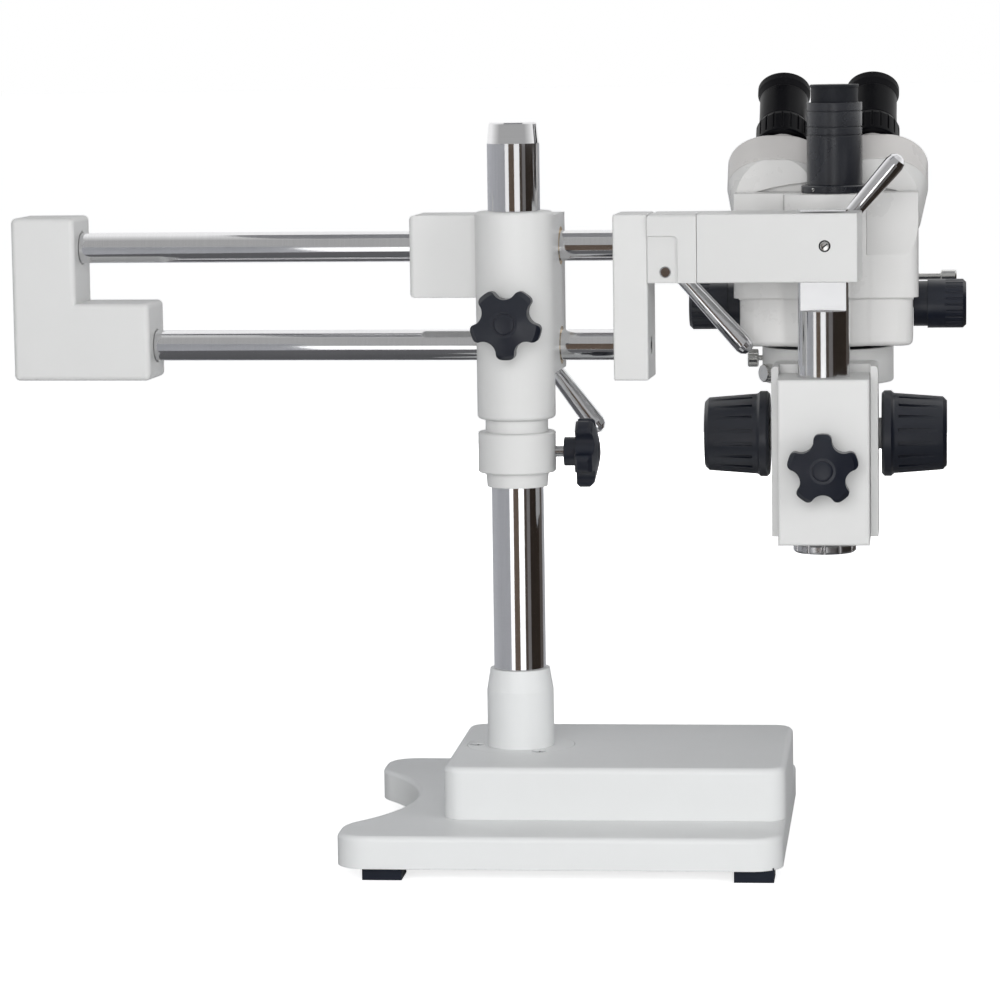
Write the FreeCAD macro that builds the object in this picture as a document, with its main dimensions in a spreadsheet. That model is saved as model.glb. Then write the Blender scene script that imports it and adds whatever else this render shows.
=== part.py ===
import FreeCAD, Part
import os
import re
import Sketcher

from FreeCAD import Placement, Rotation, Vector

# Trinocular stereo microscope on a double arm boom stand, in millimetres.
# The origin is on the pole's axis, in the plane that the feet stand on. +X runs to the right along
# the base, +Y away from the pole's front, +Z up.

SIZES = {
    # Running and seating clearances, on the radius or on a face
    "run_gap": 0.05,
    "seat_gap": 0.02,
    "face_gap": 0.3,
    # Base plate with the half round bay in its left side
    "foot_height": 9,
    "foot_side": 28,
    "foot_inset": 19,
    "foot_edge": 6,
    "foot_recess": 1.5,
    "plate_left": -117.5,
    "plate_right": 197,
    "plate_front": -159,
    "plate_back": 153,
    "plate_thick": 23.3,
    "plate_corner": 22,
    "plate_round": 4,
    "bay_bottom": -77.5,
    "bay_centre": -3,
    "bay_reach": 107,
    "bay_tip": 38,
    # Raised block that carries the pole
    "block_left": -47.5,
    "block_front": -96.5,
    "block_back": 92,
    "block_high": 37.8,
    "block_corner": 14,
    "block_round": 4.5,
    # Flange and sleeve round the foot of the pole
    "flange_wide": 78.6,
    "flange_thick": 6,
    "sleeve_wide": 48.8,
    "sleeve_high": 41.5,
    "sleeve_cone": 16,
    "sleeve_rim": 43.6,
    "flange_screw_ring": 64,
    "flange_screw_head": 11,
    "flange_screw_wide": 6,
    "flange_screw_long": 18,
    "flange_screw_sink": 0.8,
    "flange_line": 0.25,
    # Pole
    "pole_wide": 38,
    "pole_top": 526,
    "pole_taper": 15,
    "pole_tip": 35.2,
    # Cap screws of one size under the base and in the ends of the bars
    "cap_wide": 8,
    "cap_head": 13,
    "cap_head_high": 8,
    "cap_key": 6,
    "cap_grip": 22,
    "cap_recess": 0.5,
    "base_screw_inset": 22,
    # Stop collar
    "collar_wide": 56.8,
    "collar_low": 261.7,
    "collar_lip": 46,
    "collar_lip_high": 10.5,
    "collar_high": 29.5,
    "collar_neck": 45.6,
    "collar_neck_high": 9.3,
    "collar_knob_rise": 25,
    # Star knobs
    "star_wide": 52,
    "star_thick": 12.5,
    "star_dome": 3.5,
    "star_valley": 35,
    "star_bite": 9,
    "star_tip_round": 4,
    "star_hub": 21,
    "star_hub_long": 9.2,
    "star_dimple": 7,
    "stud_wide": 8,
    "stud_show": 6.3,
    "stud_show_short": 2,
    "stud_in_knob": 12,
    # Carriage on the pole, in the boom's own frame
    "boom_swing": 2.98,
    "carriage_wide": 57,
    "carriage_top": 462,
    "carriage_round": 3,
    "carriage_left": -80.5,
    "carriage_step": -25,
    "carriage_block_top": 458.3,
    "carriage_step_high": 398,
    "carriage_block_low": 344,
    "carriage_knob_rise": 22,
    # Boom bars and the blocks at their ends
    "bar_wide": 22.5,
    "bar_behind": 39,
    "bar_upper_height": 434.5,
    "bar_spacing": 73,
    "bush_wide": 28,
    "bush_long": 12,
    "bar_bore_wide": 24,
    "boom_block_deep": 49,
    "end_left": -381,
    "end_upper_right": -332.6,
    "end_lower_right": -277,
    "end_top": 458,
    "end_step": 394.5,
    "end_low": 337,
    "end_round": 4,
    "bar_in_end": 38,
    "cross_left": 69.5,
    "cross_right": 95,
    "cross_deep": 46,
    "cross_round": 1.5,
    "bar_in_cross": 13.5,
    # Arm, its bracket and the spigot that it rolls on
    "arm_deep": 50,
    "arm_low": 408,
    "arm_high": 50,
    "bracket_long": 36,
    "bracket_round": 3,
    "arm_round": 1.2,
    "arm_right": 247.5,
    "spigot_wide": 25,
    "spigot_in_arm": 18,
    "jaw_long": 22,
    "jaw_high": 34,
    "jaw_deep": 1.5,
    "jaw_corner": 3,
    # Clamping levers
    "lever_reach": 84,
    "lever_thin": 11.5,
    "lever_thick": 14.5,
    "lever_hub": 19,
    "lever_hub_long": 15,
    "carriage_lever_x": 2,
    "carriage_lever_angle": -53,
    "bracket_lever_x": 108,
    "bracket_lever_height": 416,
    "bracket_lever_angle": -48,
    "arm_lever_height": 433,
    "arm_lever_angle": 49.5,
    # Post below the arm
    "post_reach": 221,
    "post_wide": 38,
    "post_top": 459.8,
    "post_low": 209.6,
    "post_flat_deep": 9.8,
    "post_flat_low": 386.5,
    "disc_wide": 46,
    "disc_high": 7,
    "disc_notch": 3,
    # Clamp block on the post, in the focusing stage's frame
    "clamp_wide": 66.4,
    "clamp_front": 28,
    "clamp_back": 31,
    "clamp_low": 217,
    "clamp_high": 121,
    "clamp_round": 2,
    "clamp_knob_rise": 57.4,
    "dovetail_narrow": 34,
    "dovetail_wide": 44,
    "dovetail_deep": 8,
    # Rack and pinion
    "gear_module": 1,
    "gear_teeth": 14,
    "gear_wide": 10,
    "gear_slack": 0.3,
    "rack_back": 4,
    "rack_teeth": 28,
    "shaft_height": 291.5,
    "shaft_wide": 8,
    # Focusing stage with the ring that holds the optical head
    "stage_wide": 78,
    "stage_low": 219,
    "stage_top": 344.5,
    "stage_back": 58,
    "stage_cheek": 20,
    "stage_round": 3,
    "ring_offset": 118,
    "ring_wide": 99,
    "ring_low": 324.5,
    "ring_high": 27,
    "ring_bore": 76,
    "ring_round": 2,
    "neck_wide": 70,
    "neck_low": 327,
    "neck_top": 343,
    "bush_flange": 23,
    "bush_show": 2,
    # Focus knobs
    "knob_rim_wide": 63.5,
    "knob_rim_long": 8.5,
    "knob_wide": 62,
    "knob_end": 53,
    "knob_long": 39.5,
    "knob_ribs": 18,
    "knob_groove_wide": 2.6,
    "knob_groove_deep": 1.4,
    "knob_groove_long": 29,
    # Thumb screws in the ring
    "thumb_wide": 13.6,
    "thumb_long": 8,
    "thumb_stud": 4,
    "thumb_show": 3,
    "thumb_ribs": 12,
    "thumb_upper_angle": 180,
    "thumb_lower_angle": 218,
    "thumb_upper_height": 342,
    "thumb_lower_height": 333.5,
    # Optical head, in its own frame on the objective's axis
    "mount_low": 321,
    "mount_flange": 95,
    "mount_flange_high": 3,
    "mount_bore": 60,
    "mount_web": 4,
    "objective_wide": 24,
    "objective_spacing": 28,
    "objective_thick": 5,
    "head_wide": 128.5,
    "head_seam": 391,
    "head_joint": 5,
    "head_wall": 4,
    "head_round": 4,
    "head_front": 56,
    "head_corner": 11,
    "cover_wide": 137,
    "cover_top": 468,
    "cover_slope_low": 423,
    "cover_slope_in": 20,
    "cover_plane": 480,
    "arch_wide": 106,
    "arch_high": 7.5,
    "arch_deep": 5,
    "base_front": -12.3,
    "base_deep": 32,
    "base_foot": 56,
    "port_x": 6.5,
    "port_y": -33,
    "port_wide": 50,
    # Zoom drive
    "zoom_drop": 8.5,
    "zoom_shaft": 6,
    "zoom_collar_wide": 34,
    "zoom_collar_long": 10.5,
    "zoom_wide": 36.8,
    "zoom_long": 29,
    "zoom_chamfer": 2.5,
    "zoom_grooves": 24,
    "zoom_groove_deep": 0.8,
    "zoom_groove_long": 13,
    # Pull rod of the beam splitter
    "rod_y": 28,
    "rod_height": 401,
    "rod_wide": 5,
    "rod_in": 8,
    "rod_out": 85,
    "rod_knob_wide": 10,
    "rod_knob_long": 12,
    # Prism housings and eyepieces
    "pupil_spacing": 67.6,
    "pod_pivot_y": 11.2,
    "pod_tilt": 45,
    "pod_round_wide": 66.6,
    "pod_bulge": 8.6,
    "pod_thick": 26,
    "pod_under_round": 0.8,
    "pod_top_round": 2.5,
    "eye_offset": 17.6,
    "eye_tube_wide": 30,
    "eye_tube_high": 22,
    "diopter_wide": 41,
    "diopter_low": 0.4,
    "diopter_high": 21,
    "diopter_ribs": 20,
    "eyepiece_wide": 36.6,
    "eyepiece_lens": 22,
    "eyepiece_high": 46,
    "eyecup_wide": 40,
    "eyecup_low": 10,
    "eyecup_high": 7,
    # Camera port and tube
    "port_ring_high": 6,
    "tube_wide": 41.4,
    "tube_bore": 30,
    "tube_top": 535,
    "tube_groove": 0.7,
    "tube_groove_upper": 528.6,
    "tube_groove_middle": 517,
    "tube_groove_lower": 511,
    "cap_tube_wide": 35,
    "cap_tube_top": 548.3,
    "cap_brim": 36.4,
    "cap_brim_high": 2.2,
}

doc = FreeCAD.newDocument("microscope")
sheet = doc.addObject("Spreadsheet::Sheet", "Sizes")
for row, (name, size) in enumerate(SIZES.items(), start=1):
    sheet.set(f"A{row}", name)
    sheet.set(f"B{row}", str(size))
    sheet.setAlias(f"B{row}", name)
doc.recompute()

# Places that several pieces share, worked out from the sheet
PLATE_TOP = "(foot_height + plate_thick)"
BLOCK_TOP = f"({PLATE_TOP} + block_high)"
LOWER_BAR = "(bar_upper_height - bar_spacing)"
BOOM_FRONT = "(bar_behind - boom_block_deep / 2)"
BOOM_BACK = "(bar_behind + boom_block_deep / 2)"
CROSS_FRONT = "(bar_behind - cross_deep / 2)"
CROSS_BACK = "(bar_behind + cross_deep / 2)"
ARM_FRONT = "(bar_behind - arm_deep / 2)"
ARM_BACK = "(bar_behind + arm_deep / 2)"
ARM_TOP = "(arm_low + arm_high)"
ARM_LEFT = "(cross_right + bracket_long + face_gap)"
COLLAR_SHOULDER = "(collar_low + collar_lip_high + collar_high)"
COLLAR_TOP = f"({COLLAR_SHOULDER} + collar_neck_high)"
CLAMP_TOP = "(clamp_low + clamp_high)"
STAGE_FRONT = "(clamp_back + face_gap)"
RACK_ROOT = "(clamp_back + dovetail_deep)"
PITCH = "(gear_module * pi)"
PITCH_RADIUS = "(gear_module * gear_teeth / 2)"
SHAFT_Y = f"({RACK_ROOT} + 1.25 * gear_module + {PITCH_RADIUS})"
RING_TOP = "(ring_low + ring_high)"
POD_PIVOT_Z = "(cover_plane - pod_pivot_y)"
SPIGOT_HEIGHT = "(arm_low + arm_high / 2)"
COLLAR_KNOB = "(collar_low + collar_knob_rise)"
CARRIAGE_KNOB = f"({LOWER_BAR} + carriage_knob_rise)"
CLAMP_KNOB = "(clamp_low + clamp_knob_rise)"
ZOOM_HEIGHT = "(head_seam - zoom_drop)"
HEAD_LOW = f"({RING_TOP} + face_gap + mount_flange_high)"
RACK_LOW = f"(shaft_height - {PITCH} * rack_teeth / 2)"


def formula(text):
    """Name the sheet in front of each alias, as an expression of the document needs it."""
    def named(word):
        return "Sizes." + word.group() if word.group() in SIZES else word.group()

    return re.sub(r"[a-z_]+", named, str(text))


def number(text):
    """The value of an expression, in millimetres or degrees."""
    result = sheet.evalExpression(formula(text))
    return float(getattr(result, "Value", result))


def bind(item, path, text):
    item.setExpression(path, formula(text))


def vector(x, y, z):
    return Vector(number(x), number(y), number(z))


# Frames: the stand's, the boom's and those of the focusing stage and the optical head
STAND = Placement()
BOOM = Placement(Vector(0, 0, 0), Rotation(Vector(0, 0, 1), -number("boom_swing")))
STAGE = Placement(BOOM.multVec(vector("post_reach", "bar_behind", 0)), Rotation())
HEAD = STAGE * Placement(vector(0, "ring_offset", 0), Rotation())

ALONG_X = Rotation(Vector(0, 1, 0), 90)
AGAINST_X = Rotation(Vector(0, 1, 0), -90)
ALONG_Y = Rotation(Vector(1, 0, 0), -90)
AGAINST_Y = Rotation(Vector(1, 0, 0), 90)

parts = []


def new_body(label, place=STAND):
    body = doc.addObject("PartDesign::Body", label)
    body.Placement = place
    parts.append(body)
    return body


def origin_plane(body, role):
    return next(item for item in body.Origin.OriginFeatures if item.Role == role)


def circle(x, y, diameter):
    return ("circle", x, y, diameter)


def box(x_low, y_low, x_high, y_high):
    return [(x_low, y_low), (x_high, y_low), (x_high, y_high), (x_low, y_high)]


def mirrored(points):
    """The same outline on the other side of the vertical axis."""
    return [(f"-({x})", y) for x, y in reversed(points)]


def draw_circle(sketch, x, y, diameter):
    centre = vector(x, y, 0)
    edge = sketch.addGeometry(Part.Circle(centre, Vector(0, 0, 1), number(diameter) / 2))
    sketch.addConstraint(Sketcher.Constraint("Diameter", edge, number(diameter)))
    bind(sketch, f"Constraints[{sketch.ConstraintCount - 1}]", diameter)
    for kind, text, value in (("DistanceX", x, centre.x), ("DistanceY", y, centre.y)):
        sketch.addConstraint(Sketcher.Constraint(kind, -1, 1, edge, 3, value))
        bind(sketch, f"Constraints[{sketch.ConstraintCount - 1}]", text)


def draw_outline(sketch, points):
    """A closed outline of straight sides whose corners are bound to the sheet."""
    first = sketch.GeometryCount
    corners = [vector(x, y, 0) for x, y in points]
    count = len(corners)
    sketch.addGeometry([Part.LineSegment(corners[i], corners[(i + 1) % count]) for i in range(count)])
    sketch.addConstraint(
        [Sketcher.Constraint("Coincident", first + i, 2, first + (i + 1) % count, 1) for i in range(count)]
    )
    for i, (x, y) in enumerate(points):
        for kind, text, value in (("DistanceX", x, corners[i].x), ("DistanceY", y, corners[i].y)):
            sketch.addConstraint(Sketcher.Constraint(kind, -1, 1, first + i, 1, value))
            bind(sketch, f"Constraints[{sketch.ConstraintCount - 1}]", text)


def new_sketch(body, role, height, loops):
    sketch = body.newObject("Sketcher::SketchObject", body.Label + "_sketch")
    sketch.AttachmentSupport = [(origin_plane(body, role), "")]
    sketch.MapMode = "FlatFace"
    bind(sketch, "AttachmentOffset.Base.z", height)
    for loop in loops:
        if loop[0] == "circle":
            draw_circle(sketch, *loop[1:])
        else:
            draw_outline(sketch, loop)
    return sketch


def pad(body, role, low, high, *loops):
    """Material between two heights over a plane: XY along Z, XZ along Y, YZ along X."""
    start = f"-({high})" if role == "XZ_Plane" else low
    feature = body.newObject("PartDesign::Pad", body.Label + "_pad")
    feature.Profile = new_sketch(body, role, start, loops)
    bind(feature, "Length", f"({high}) - ({low})")
    doc.recompute()
    return feature


def pocket(body, role, low, high, *loops):
    """A cut between two heights over a plane, checked to take something away."""
    before = body.Shape.Volume
    start = f"-({low})" if role == "XZ_Plane" else high
    feature = body.newObject("PartDesign::Pocket", body.Label + "_pocket")
    feature.Profile = new_sketch(body, role, start, loops)
    bind(feature, "Length", f"({high}) - ({low})")
    doc.recompute()
    if not body.Shape.Volume < before:
        raise ValueError(f"{body.Label}: a pocket cuts nothing")
    return feature


def turn(body, points):
    """A solid turned about Z from an outline of (radius, height) points."""
    feature = body.newObject("PartDesign::Revolution", body.Label + "_turned")
    sketch = new_sketch(body, "XZ_Plane", 0, [points])
    feature.Profile = sketch
    feature.ReferenceAxis = (sketch, ["V_Axis"])
    feature.Angle = 360
    doc.recompute()
    return feature


def groove(body, points):
    """A ring shaped cut about Z from an outline of (radius, height) points."""
    before = body.Shape.Volume
    feature = body.newObject("PartDesign::Groove", body.Label + "_groove")
    sketch = new_sketch(body, "XZ_Plane", 0, [points])
    feature.Profile = sketch
    feature.ReferenceAxis = (sketch, ["V_Axis"])
    feature.Angle = 360
    doc.recompute()
    if not body.Shape.Volume < before:
        raise ValueError(f"{body.Label}: a groove cuts nothing")
    return feature


def repeat_round_z(body, feature, count):
    pattern = body.newObject("PartDesign::PolarPattern", body.Label + "_pattern")
    pattern.Originals = [feature]
    pattern.Axis = (origin_axis(body, "Z_Axis"), [""])
    pattern.Angle = 360
    bind(pattern, "Occurrences", count)
    body.Tip = pattern
    doc.recompute()
    return pattern


def origin_axis(body, role):
    return next(item for item in body.Origin.OriginFeatures if item.Role == role)


def round_edges(body, radius, wanted):
    """Round the edges of the newest feature that a test of their middle and direction picks."""
    base = body.Tip
    names = []
    for index, edge in enumerate(base.Shape.Edges, start=1):
        middle = edge.valueAt((edge.FirstParameter + edge.LastParameter) / 2)
        direction = edge.tangentAt((edge.FirstParameter + edge.LastParameter) / 2)
        if wanted(middle, direction, edge):
            names.append(f"Edge{index}")
    if not names:
        raise ValueError(f"{body.Label}: no edge to round")
    feature = body.newObject("PartDesign::Fillet", body.Label + "_rounding")
    feature.Base = (base, names)
    bind(feature, "Radius", radius)
    doc.recompute()
    if "Invalid" in feature.State:
        raise ValueError(f"{body.Label}: the rounding of {radius} fails")
    return feature


def near(value, text):
    return abs(value - number(text)) < 1e-4


def upright(direction):
    return abs(direction.z) > 0.999


def tube(low, high, outer, inner):
    """Outline of a plain ring for turning."""
    return box(f"({inner}) / 2", low, f"({outer}) / 2", high)


# Base: plate, block, feet and the screws under them
def base_plate():
    body = new_body("base_plate")
    pad(
        body, "XY_Plane", "foot_height", PLATE_TOP,
        box("plate_left", "plate_front", "plate_right", "plate_back"),
    )
    bay_deep = "(bay_bottom - plate_left)"
    bay_radius = f"(bay_reach ^ 2 + {bay_deep} ^ 2) / (2 * {bay_deep})"
    pocket(
        body, "XY_Plane", "foot_height", PLATE_TOP,
        circle(f"bay_bottom - {bay_radius}", "bay_centre", f"2 * {bay_radius}"),
    )
    round_edges(
        body, "plate_corner",
        lambda middle, along, edge: upright(along) and abs(middle.y) > number("bay_reach") + 5
        and (near(middle.y, "plate_front") or near(middle.y, "plate_back")),
    )
    round_edges(
        body, "bay_tip",
        lambda middle, along, edge: upright(along) and near(middle.x, "plate_left")
        and abs(abs(middle.y - number("bay_centre")) - number("bay_reach")) < 1,
    )
    round_edges(
        body, "plate_round",
        lambda middle, along, edge: near(middle.z, PLATE_TOP) and abs(along.z) < 0.01,
    )
    pocket(
        body, "XY_Plane", "foot_height", PLATE_TOP,
        *[circle(x, y, "cap_wide + 2 * run_gap") for x, y in base_screw_places()],
    )
    pocket(
        body, "XY_Plane", "foot_height", "foot_height + cap_head_high + cap_recess",
        *[circle(x, y, "cap_head + 1") for x, y in base_screw_places()],
    )
    pocket(
        body, "XY_Plane", "foot_height", "foot_height + foot_recess",
        *[foot_outline(x, y, "foot_side / 2 + seat_gap") for x, y in foot_places()],
    )


def foot_places():
    """Centres of the four feet, one near each corner of the plate."""
    step = "(foot_edge + foot_side / 2)"
    side_step = "(foot_inset + foot_side / 2)"
    return [
        (f"plate_left + {side_step}", f"plate_front + {step}"),
        (f"plate_right - {step}", f"plate_front + {step}"),
        (f"plate_left + {side_step}", f"plate_back - {step}"),
        (f"plate_right - {step}", f"plate_back - {step}"),
    ]


def foot_outline(x, y, half):
    return box(f"{x} - ({half})", f"{y} - ({half})", f"{x} + ({half})", f"{y} + ({half})")


def base_screw_places():
    """The pole's own screw, then one near each corner of the block."""
    left = "block_left + base_screw_inset"
    right = "plate_right - base_screw_inset"
    front = "block_front + base_screw_inset"
    back = "block_back - base_screw_inset"
    return [("0", "0"), (left, front), (right, front), (left, back), (right, back)]


def base_block():
    body = new_body("base_block")
    pad(
        body, "XY_Plane", PLATE_TOP, BLOCK_TOP,
        box("block_left", "block_front", "plate_right", "block_back"),
    )
    round_edges(body, "block_corner", lambda middle, along, edge: upright(along))
    round_edges(
        body, "block_round",
        lambda middle, along, edge: near(middle.z, BLOCK_TOP) and abs(along.z) < 0.01,
    )
    pocket(body, "XY_Plane", PLATE_TOP, BLOCK_TOP, circle(0, 0, "pole_wide + 2 * seat_gap"))
    pocket(
        body, "XY_Plane", f"{BLOCK_TOP} - flange_thick", BLOCK_TOP,
        circle(0, 0, "flange_wide + 2 * flange_line"),
    )
    pocket(
        body, "XY_Plane", PLATE_TOP, f"{PLATE_TOP} + cap_grip + 2",
        *[circle(x, y, "cap_wide + 2 * run_gap") for x, y in base_screw_places()[1:]],
    )
    pocket(
        body, "XY_Plane", f"{BLOCK_TOP} - flange_thick - flange_screw_long", f"{BLOCK_TOP} - flange_thick",
        *[circle(x, y, "flange_screw_wide + 2 * run_gap") for x, y in flange_screw_places()],
    )


def rubber_feet():
    body = new_body("rubber_feet")
    pad(
        body, "XY_Plane", 0, "foot_height + foot_recess - seat_gap",
        *[foot_outline(x, y, "foot_side / 2") for x, y in foot_places()],
    )


def solid_group(label, make_one, places):
    """Several equal solids in one node, each at its own place."""
    group = doc.addObject("Part::Feature", label)
    group.Shape = Part.makeCompound([make_one().transformed(place.toMatrix()) for place in places])
    parts.append(group)
    return group


def cap_screw(long):
    """Socket head screw along +Z, its head's underside at the origin."""
    radius = number("cap_wide") / 2
    head_high = number("cap_head_high")
    head = Part.makeCylinder(number("cap_head") / 2, head_high, Vector(0, 0, -head_high))
    key = hexagon(number("cap_key"), head_high / 2)
    key.translate(Vector(0, 0, -head_high))
    return head.fuse(Part.makeCylinder(radius, long)).removeSplitter().cut(key)


def hexagon(across, height):
    corner = across / 3 ** 0.5
    points = [Vector(corner, 0, 0)]
    turn_sixth = Rotation(Vector(0, 0, 1), 60)
    for _ in range(6):
        points.append(turn_sixth.multVec(points[-1]))
    return Part.Face(Part.makePolygon(points)).extrude(Vector(0, 0, height))


def base_screws():
    seat = number("foot_height + cap_head_high + cap_recess")
    places = [Placement(Vector(number(x), number(y), seat), Rotation()) for x, y in base_screw_places()]
    long = number("plate_thick - cap_head_high - cap_recess + cap_grip")
    solid_group("base_screws", lambda: cap_screw(long), places)


def flange_screw_places():
    """Three screws round the pole, one on the left."""
    radius = "flange_screw_ring / 2"
    return [(f"{radius} * cos({angle})", f"{radius} * sin({angle})") for angle in (180, -60, 60)]


def pole_flange():
    """Turned sleeve with a cone at its top and a round flange let into the block."""
    body = new_body("pole_flange")
    bore = "pole_wide / 2 + seat_gap"
    low = f"{BLOCK_TOP} - flange_thick"
    turn(body, [
        (bore, low),
        ("flange_wide / 2", low),
        ("flange_wide / 2", BLOCK_TOP),
        ("sleeve_wide / 2", BLOCK_TOP),
        ("sleeve_wide / 2", f"{BLOCK_TOP} + sleeve_high"),
        ("sleeve_rim / 2", f"{BLOCK_TOP} + sleeve_high + sleeve_cone"),
        (bore, f"{BLOCK_TOP} + sleeve_high + sleeve_cone"),
    ])
    pocket(
        body, "XY_Plane", low, BLOCK_TOP,
        *[circle(x, y, "flange_screw_wide + 2 * run_gap") for x, y in flange_screw_places()],
    )
    pocket(
        body, "XY_Plane", f"{BLOCK_TOP} - flange_screw_sink - flange_screw_head / 4", BLOCK_TOP,
        *[circle(x, y, "flange_screw_head + 2 * run_gap") for x, y in flange_screw_places()],
    )


def flange_screw():
    """Flat head screw along -Z with its head at the origin."""
    head_high = number("flange_screw_head") / 4
    head = Part.makeCylinder(number("flange_screw_head") / 2, head_high, Vector(0, 0, -head_high))
    long = number("flange_screw_long")
    shank = Part.makeCylinder(number("flange_screw_wide") / 2, long, Vector(0, 0, -long))
    slot_wide = number("flange_screw_wide") / 5
    slot_long = number("flange_screw_head") * 0.6
    slot_deep = head_high / 2
    slot = Part.makeBox(slot_long, slot_wide, slot_deep, Vector(-slot_long / 2, -slot_wide / 2, -slot_deep))
    cross = Part.makeBox(slot_wide, slot_long, slot_deep, Vector(-slot_wide / 2, -slot_long / 2, -slot_deep))
    return head.fuse(shank).removeSplitter().cut(slot.fuse(cross))


def flange_screws():
    top = number(f"{BLOCK_TOP} - flange_screw_sink")
    places = [Placement(Vector(number(x), number(y), top), Rotation()) for x, y in flange_screw_places()]
    solid_group("flange_screws", flange_screw, places)


def pole():
    """Chromed bar with a long taper at the top and a tapped hole at the foot."""
    body = new_body("pole")
    tapped = "cap_wide / 2 + run_gap"
    deep = f"{PLATE_TOP} + cap_grip + 2"
    turn(body, [
        (tapped, PLATE_TOP),
        ("pole_wide / 2", PLATE_TOP),
        ("pole_wide / 2", "pole_top - pole_taper"),
        ("pole_tip / 2", "pole_top - 1"),
        ("pole_tip / 2 - 1", "pole_top"),
        (0, "pole_top"),
        (0, deep),
        (tapped, deep),
    ])


# Stop collar
def stop_collar():
    body = new_body("stop_collar")
    bore = "pole_wide / 2 + run_gap"
    lip_top = "collar_low + collar_lip_high"
    turn(body, [
        (bore, "collar_low"),
        ("collar_lip / 2 - 1", "collar_low"),
        ("collar_lip / 2", lip_top),
        ("collar_wide / 2 - 1", lip_top),
        ("collar_wide / 2", f"{lip_top} + 1"),
        ("collar_wide / 2", f"{COLLAR_SHOULDER} - 1"),
        ("collar_wide / 2 - 1", COLLAR_SHOULDER),
        ("collar_neck / 2", COLLAR_SHOULDER),
        ("collar_neck / 2", COLLAR_TOP),
        (bore, COLLAR_TOP),
    ])
    pocket(body, "YZ_Plane", 0, "collar_wide", circle(0, COLLAR_KNOB, "stud_wide + 2 * run_gap"))


def star_knob(label, place, turned=0):
    """Five lobed knob turned about +Z from its hub, with a shallow dome."""
    body = new_body(label, place * Placement(Vector(0, 0, 0), Rotation(Vector(0, 0, 1), turned)))
    hub_top = "star_hub_long"
    rim_top = f"{hub_top} + star_thick"
    turn(body, [
        ("stud_wide / 2 + run_gap", 0),
        ("star_hub / 2", 0),
        ("star_hub / 2", hub_top),
        ("star_wide / 2 - 2", hub_top),
        ("star_wide / 2", f"{hub_top} + 2"),
        ("star_wide / 2", f"{rim_top} - 3"),
        ("star_wide / 2 - 3", rim_top),
        ("star_dimple / 2 + 6", f"{rim_top} + star_dome"),
        ("star_dimple / 2", f"{rim_top} + star_dome"),
        ("star_dimple / 2 - 1.5", f"{rim_top} + star_dome - 1"),
        (0, f"{rim_top} + star_dome - 1"),
        (0, "stud_in_knob + seat_gap"),
        ("stud_wide / 2 + run_gap", "stud_in_knob + seat_gap"),
    ])
    bite = pocket(
        body, "XY_Plane", f"{hub_top} - 0.01", f"{rim_top} + star_dome",
        circle("star_valley / 2 + star_bite", 0, "2 * star_bite"),
    )
    repeat_round_z(body, bite, 5)
    round_edges(
        body, "star_tip_round",
        lambda middle, along, edge: upright(along) and edge.Length > 2
        and Vector(middle.x, middle.y, 0).Length > number("star_wide") / 2 - 1.5,
    )
    return body


def stud(label, place, length):
    """Plain shank of a threaded stud, from its tip at the origin along +Z."""
    body = new_body(label, place)
    turn(body, [
        (0, 0),
        ("stud_wide / 2 - 0.8", 0),
        ("stud_wide / 2", 0.8),
        ("stud_wide / 2", length),
        (0, length),
    ])


def clamp_knob_pair(knob, stud_label, frame, tip, show, turned=0):
    """A star knob and its stud: tip is the frame's place of the stud's end, pointing along +Z."""
    place = frame * tip
    length = f"({show}) + stud_in_knob"
    stud(stud_label, place, length)
    star_knob(knob, place * Placement(vector(0, 0, show), Rotation()), turned)


def collar_knob():
    start = "pole_wide / 2 + face_gap"
    tip = Placement(vector(start, 0, COLLAR_KNOB), ALONG_X)
    show = f"collar_wide / 2 + stud_show - ({start})"
    clamp_knob_pair("collar_knob", "collar_knob_stud", STAND, tip, show, 180)


# Carriage
def carriage_casting():
    """Sleeve on the pole with the stepped block behind it that guides the two bars."""
    body = new_body("carriage_casting", BOOM)
    pad(body, "XY_Plane", f"{COLLAR_TOP} + face_gap", "carriage_top", circle(0, 0, "carriage_wide"))
    round_edges(body, "carriage_round", lambda middle, along, edge: abs(along.z) < 0.01)
    right = "carriage_wide / 2"
    pad(body, "XZ_Plane", 0, BOOM_BACK, [
        ("carriage_step", "carriage_block_low"),
        (right, "carriage_block_low"),
        (right, "carriage_block_top"),
        ("carriage_step", "carriage_block_top"),
    ])
    pad(body, "XZ_Plane", BOOM_FRONT, BOOM_BACK, [
        ("carriage_left", "carriage_step_high"),
        (0, "carriage_step_high"),
        (0, "carriage_block_top"),
        ("carriage_left", "carriage_block_top"),
    ])
    round_edges(
        body, "end_round",
        lambda middle, along, edge: near(middle.x, "carriage_left")
        or (near(middle.y, BOOM_BACK) and abs(along.y) < 0.01),
    )
    pocket(body, "XY_Plane", "collar_low", "carriage_top", circle(0, 0, "pole_wide + 2 * run_gap"))
    for height, left in (("bar_upper_height", "carriage_left"), (LOWER_BAR, "carriage_step")):
        place = circle("bar_behind", height, "bar_bore_wide")
        seat = circle("bar_behind", height, "bush_wide + 2 * seat_gap")
        pocket(body, "YZ_Plane", left, right, place)
        pocket(body, "YZ_Plane", left, f"{left} + bush_long", seat)
        pocket(body, "YZ_Plane", f"{right} - bush_long", right, seat)
    pocket(
        body, "XZ_Plane", "-carriage_wide / 2 - 1", 0,
        circle(0, CARRIAGE_KNOB, "stud_wide + 2 * run_gap"),
    )
    pocket(
        body, "XZ_Plane", "bar_behind", f"{BOOM_BACK} + 1",
        circle("carriage_lever_x", LOWER_BAR, "stud_wide + 2 * run_gap"),
    )


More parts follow.
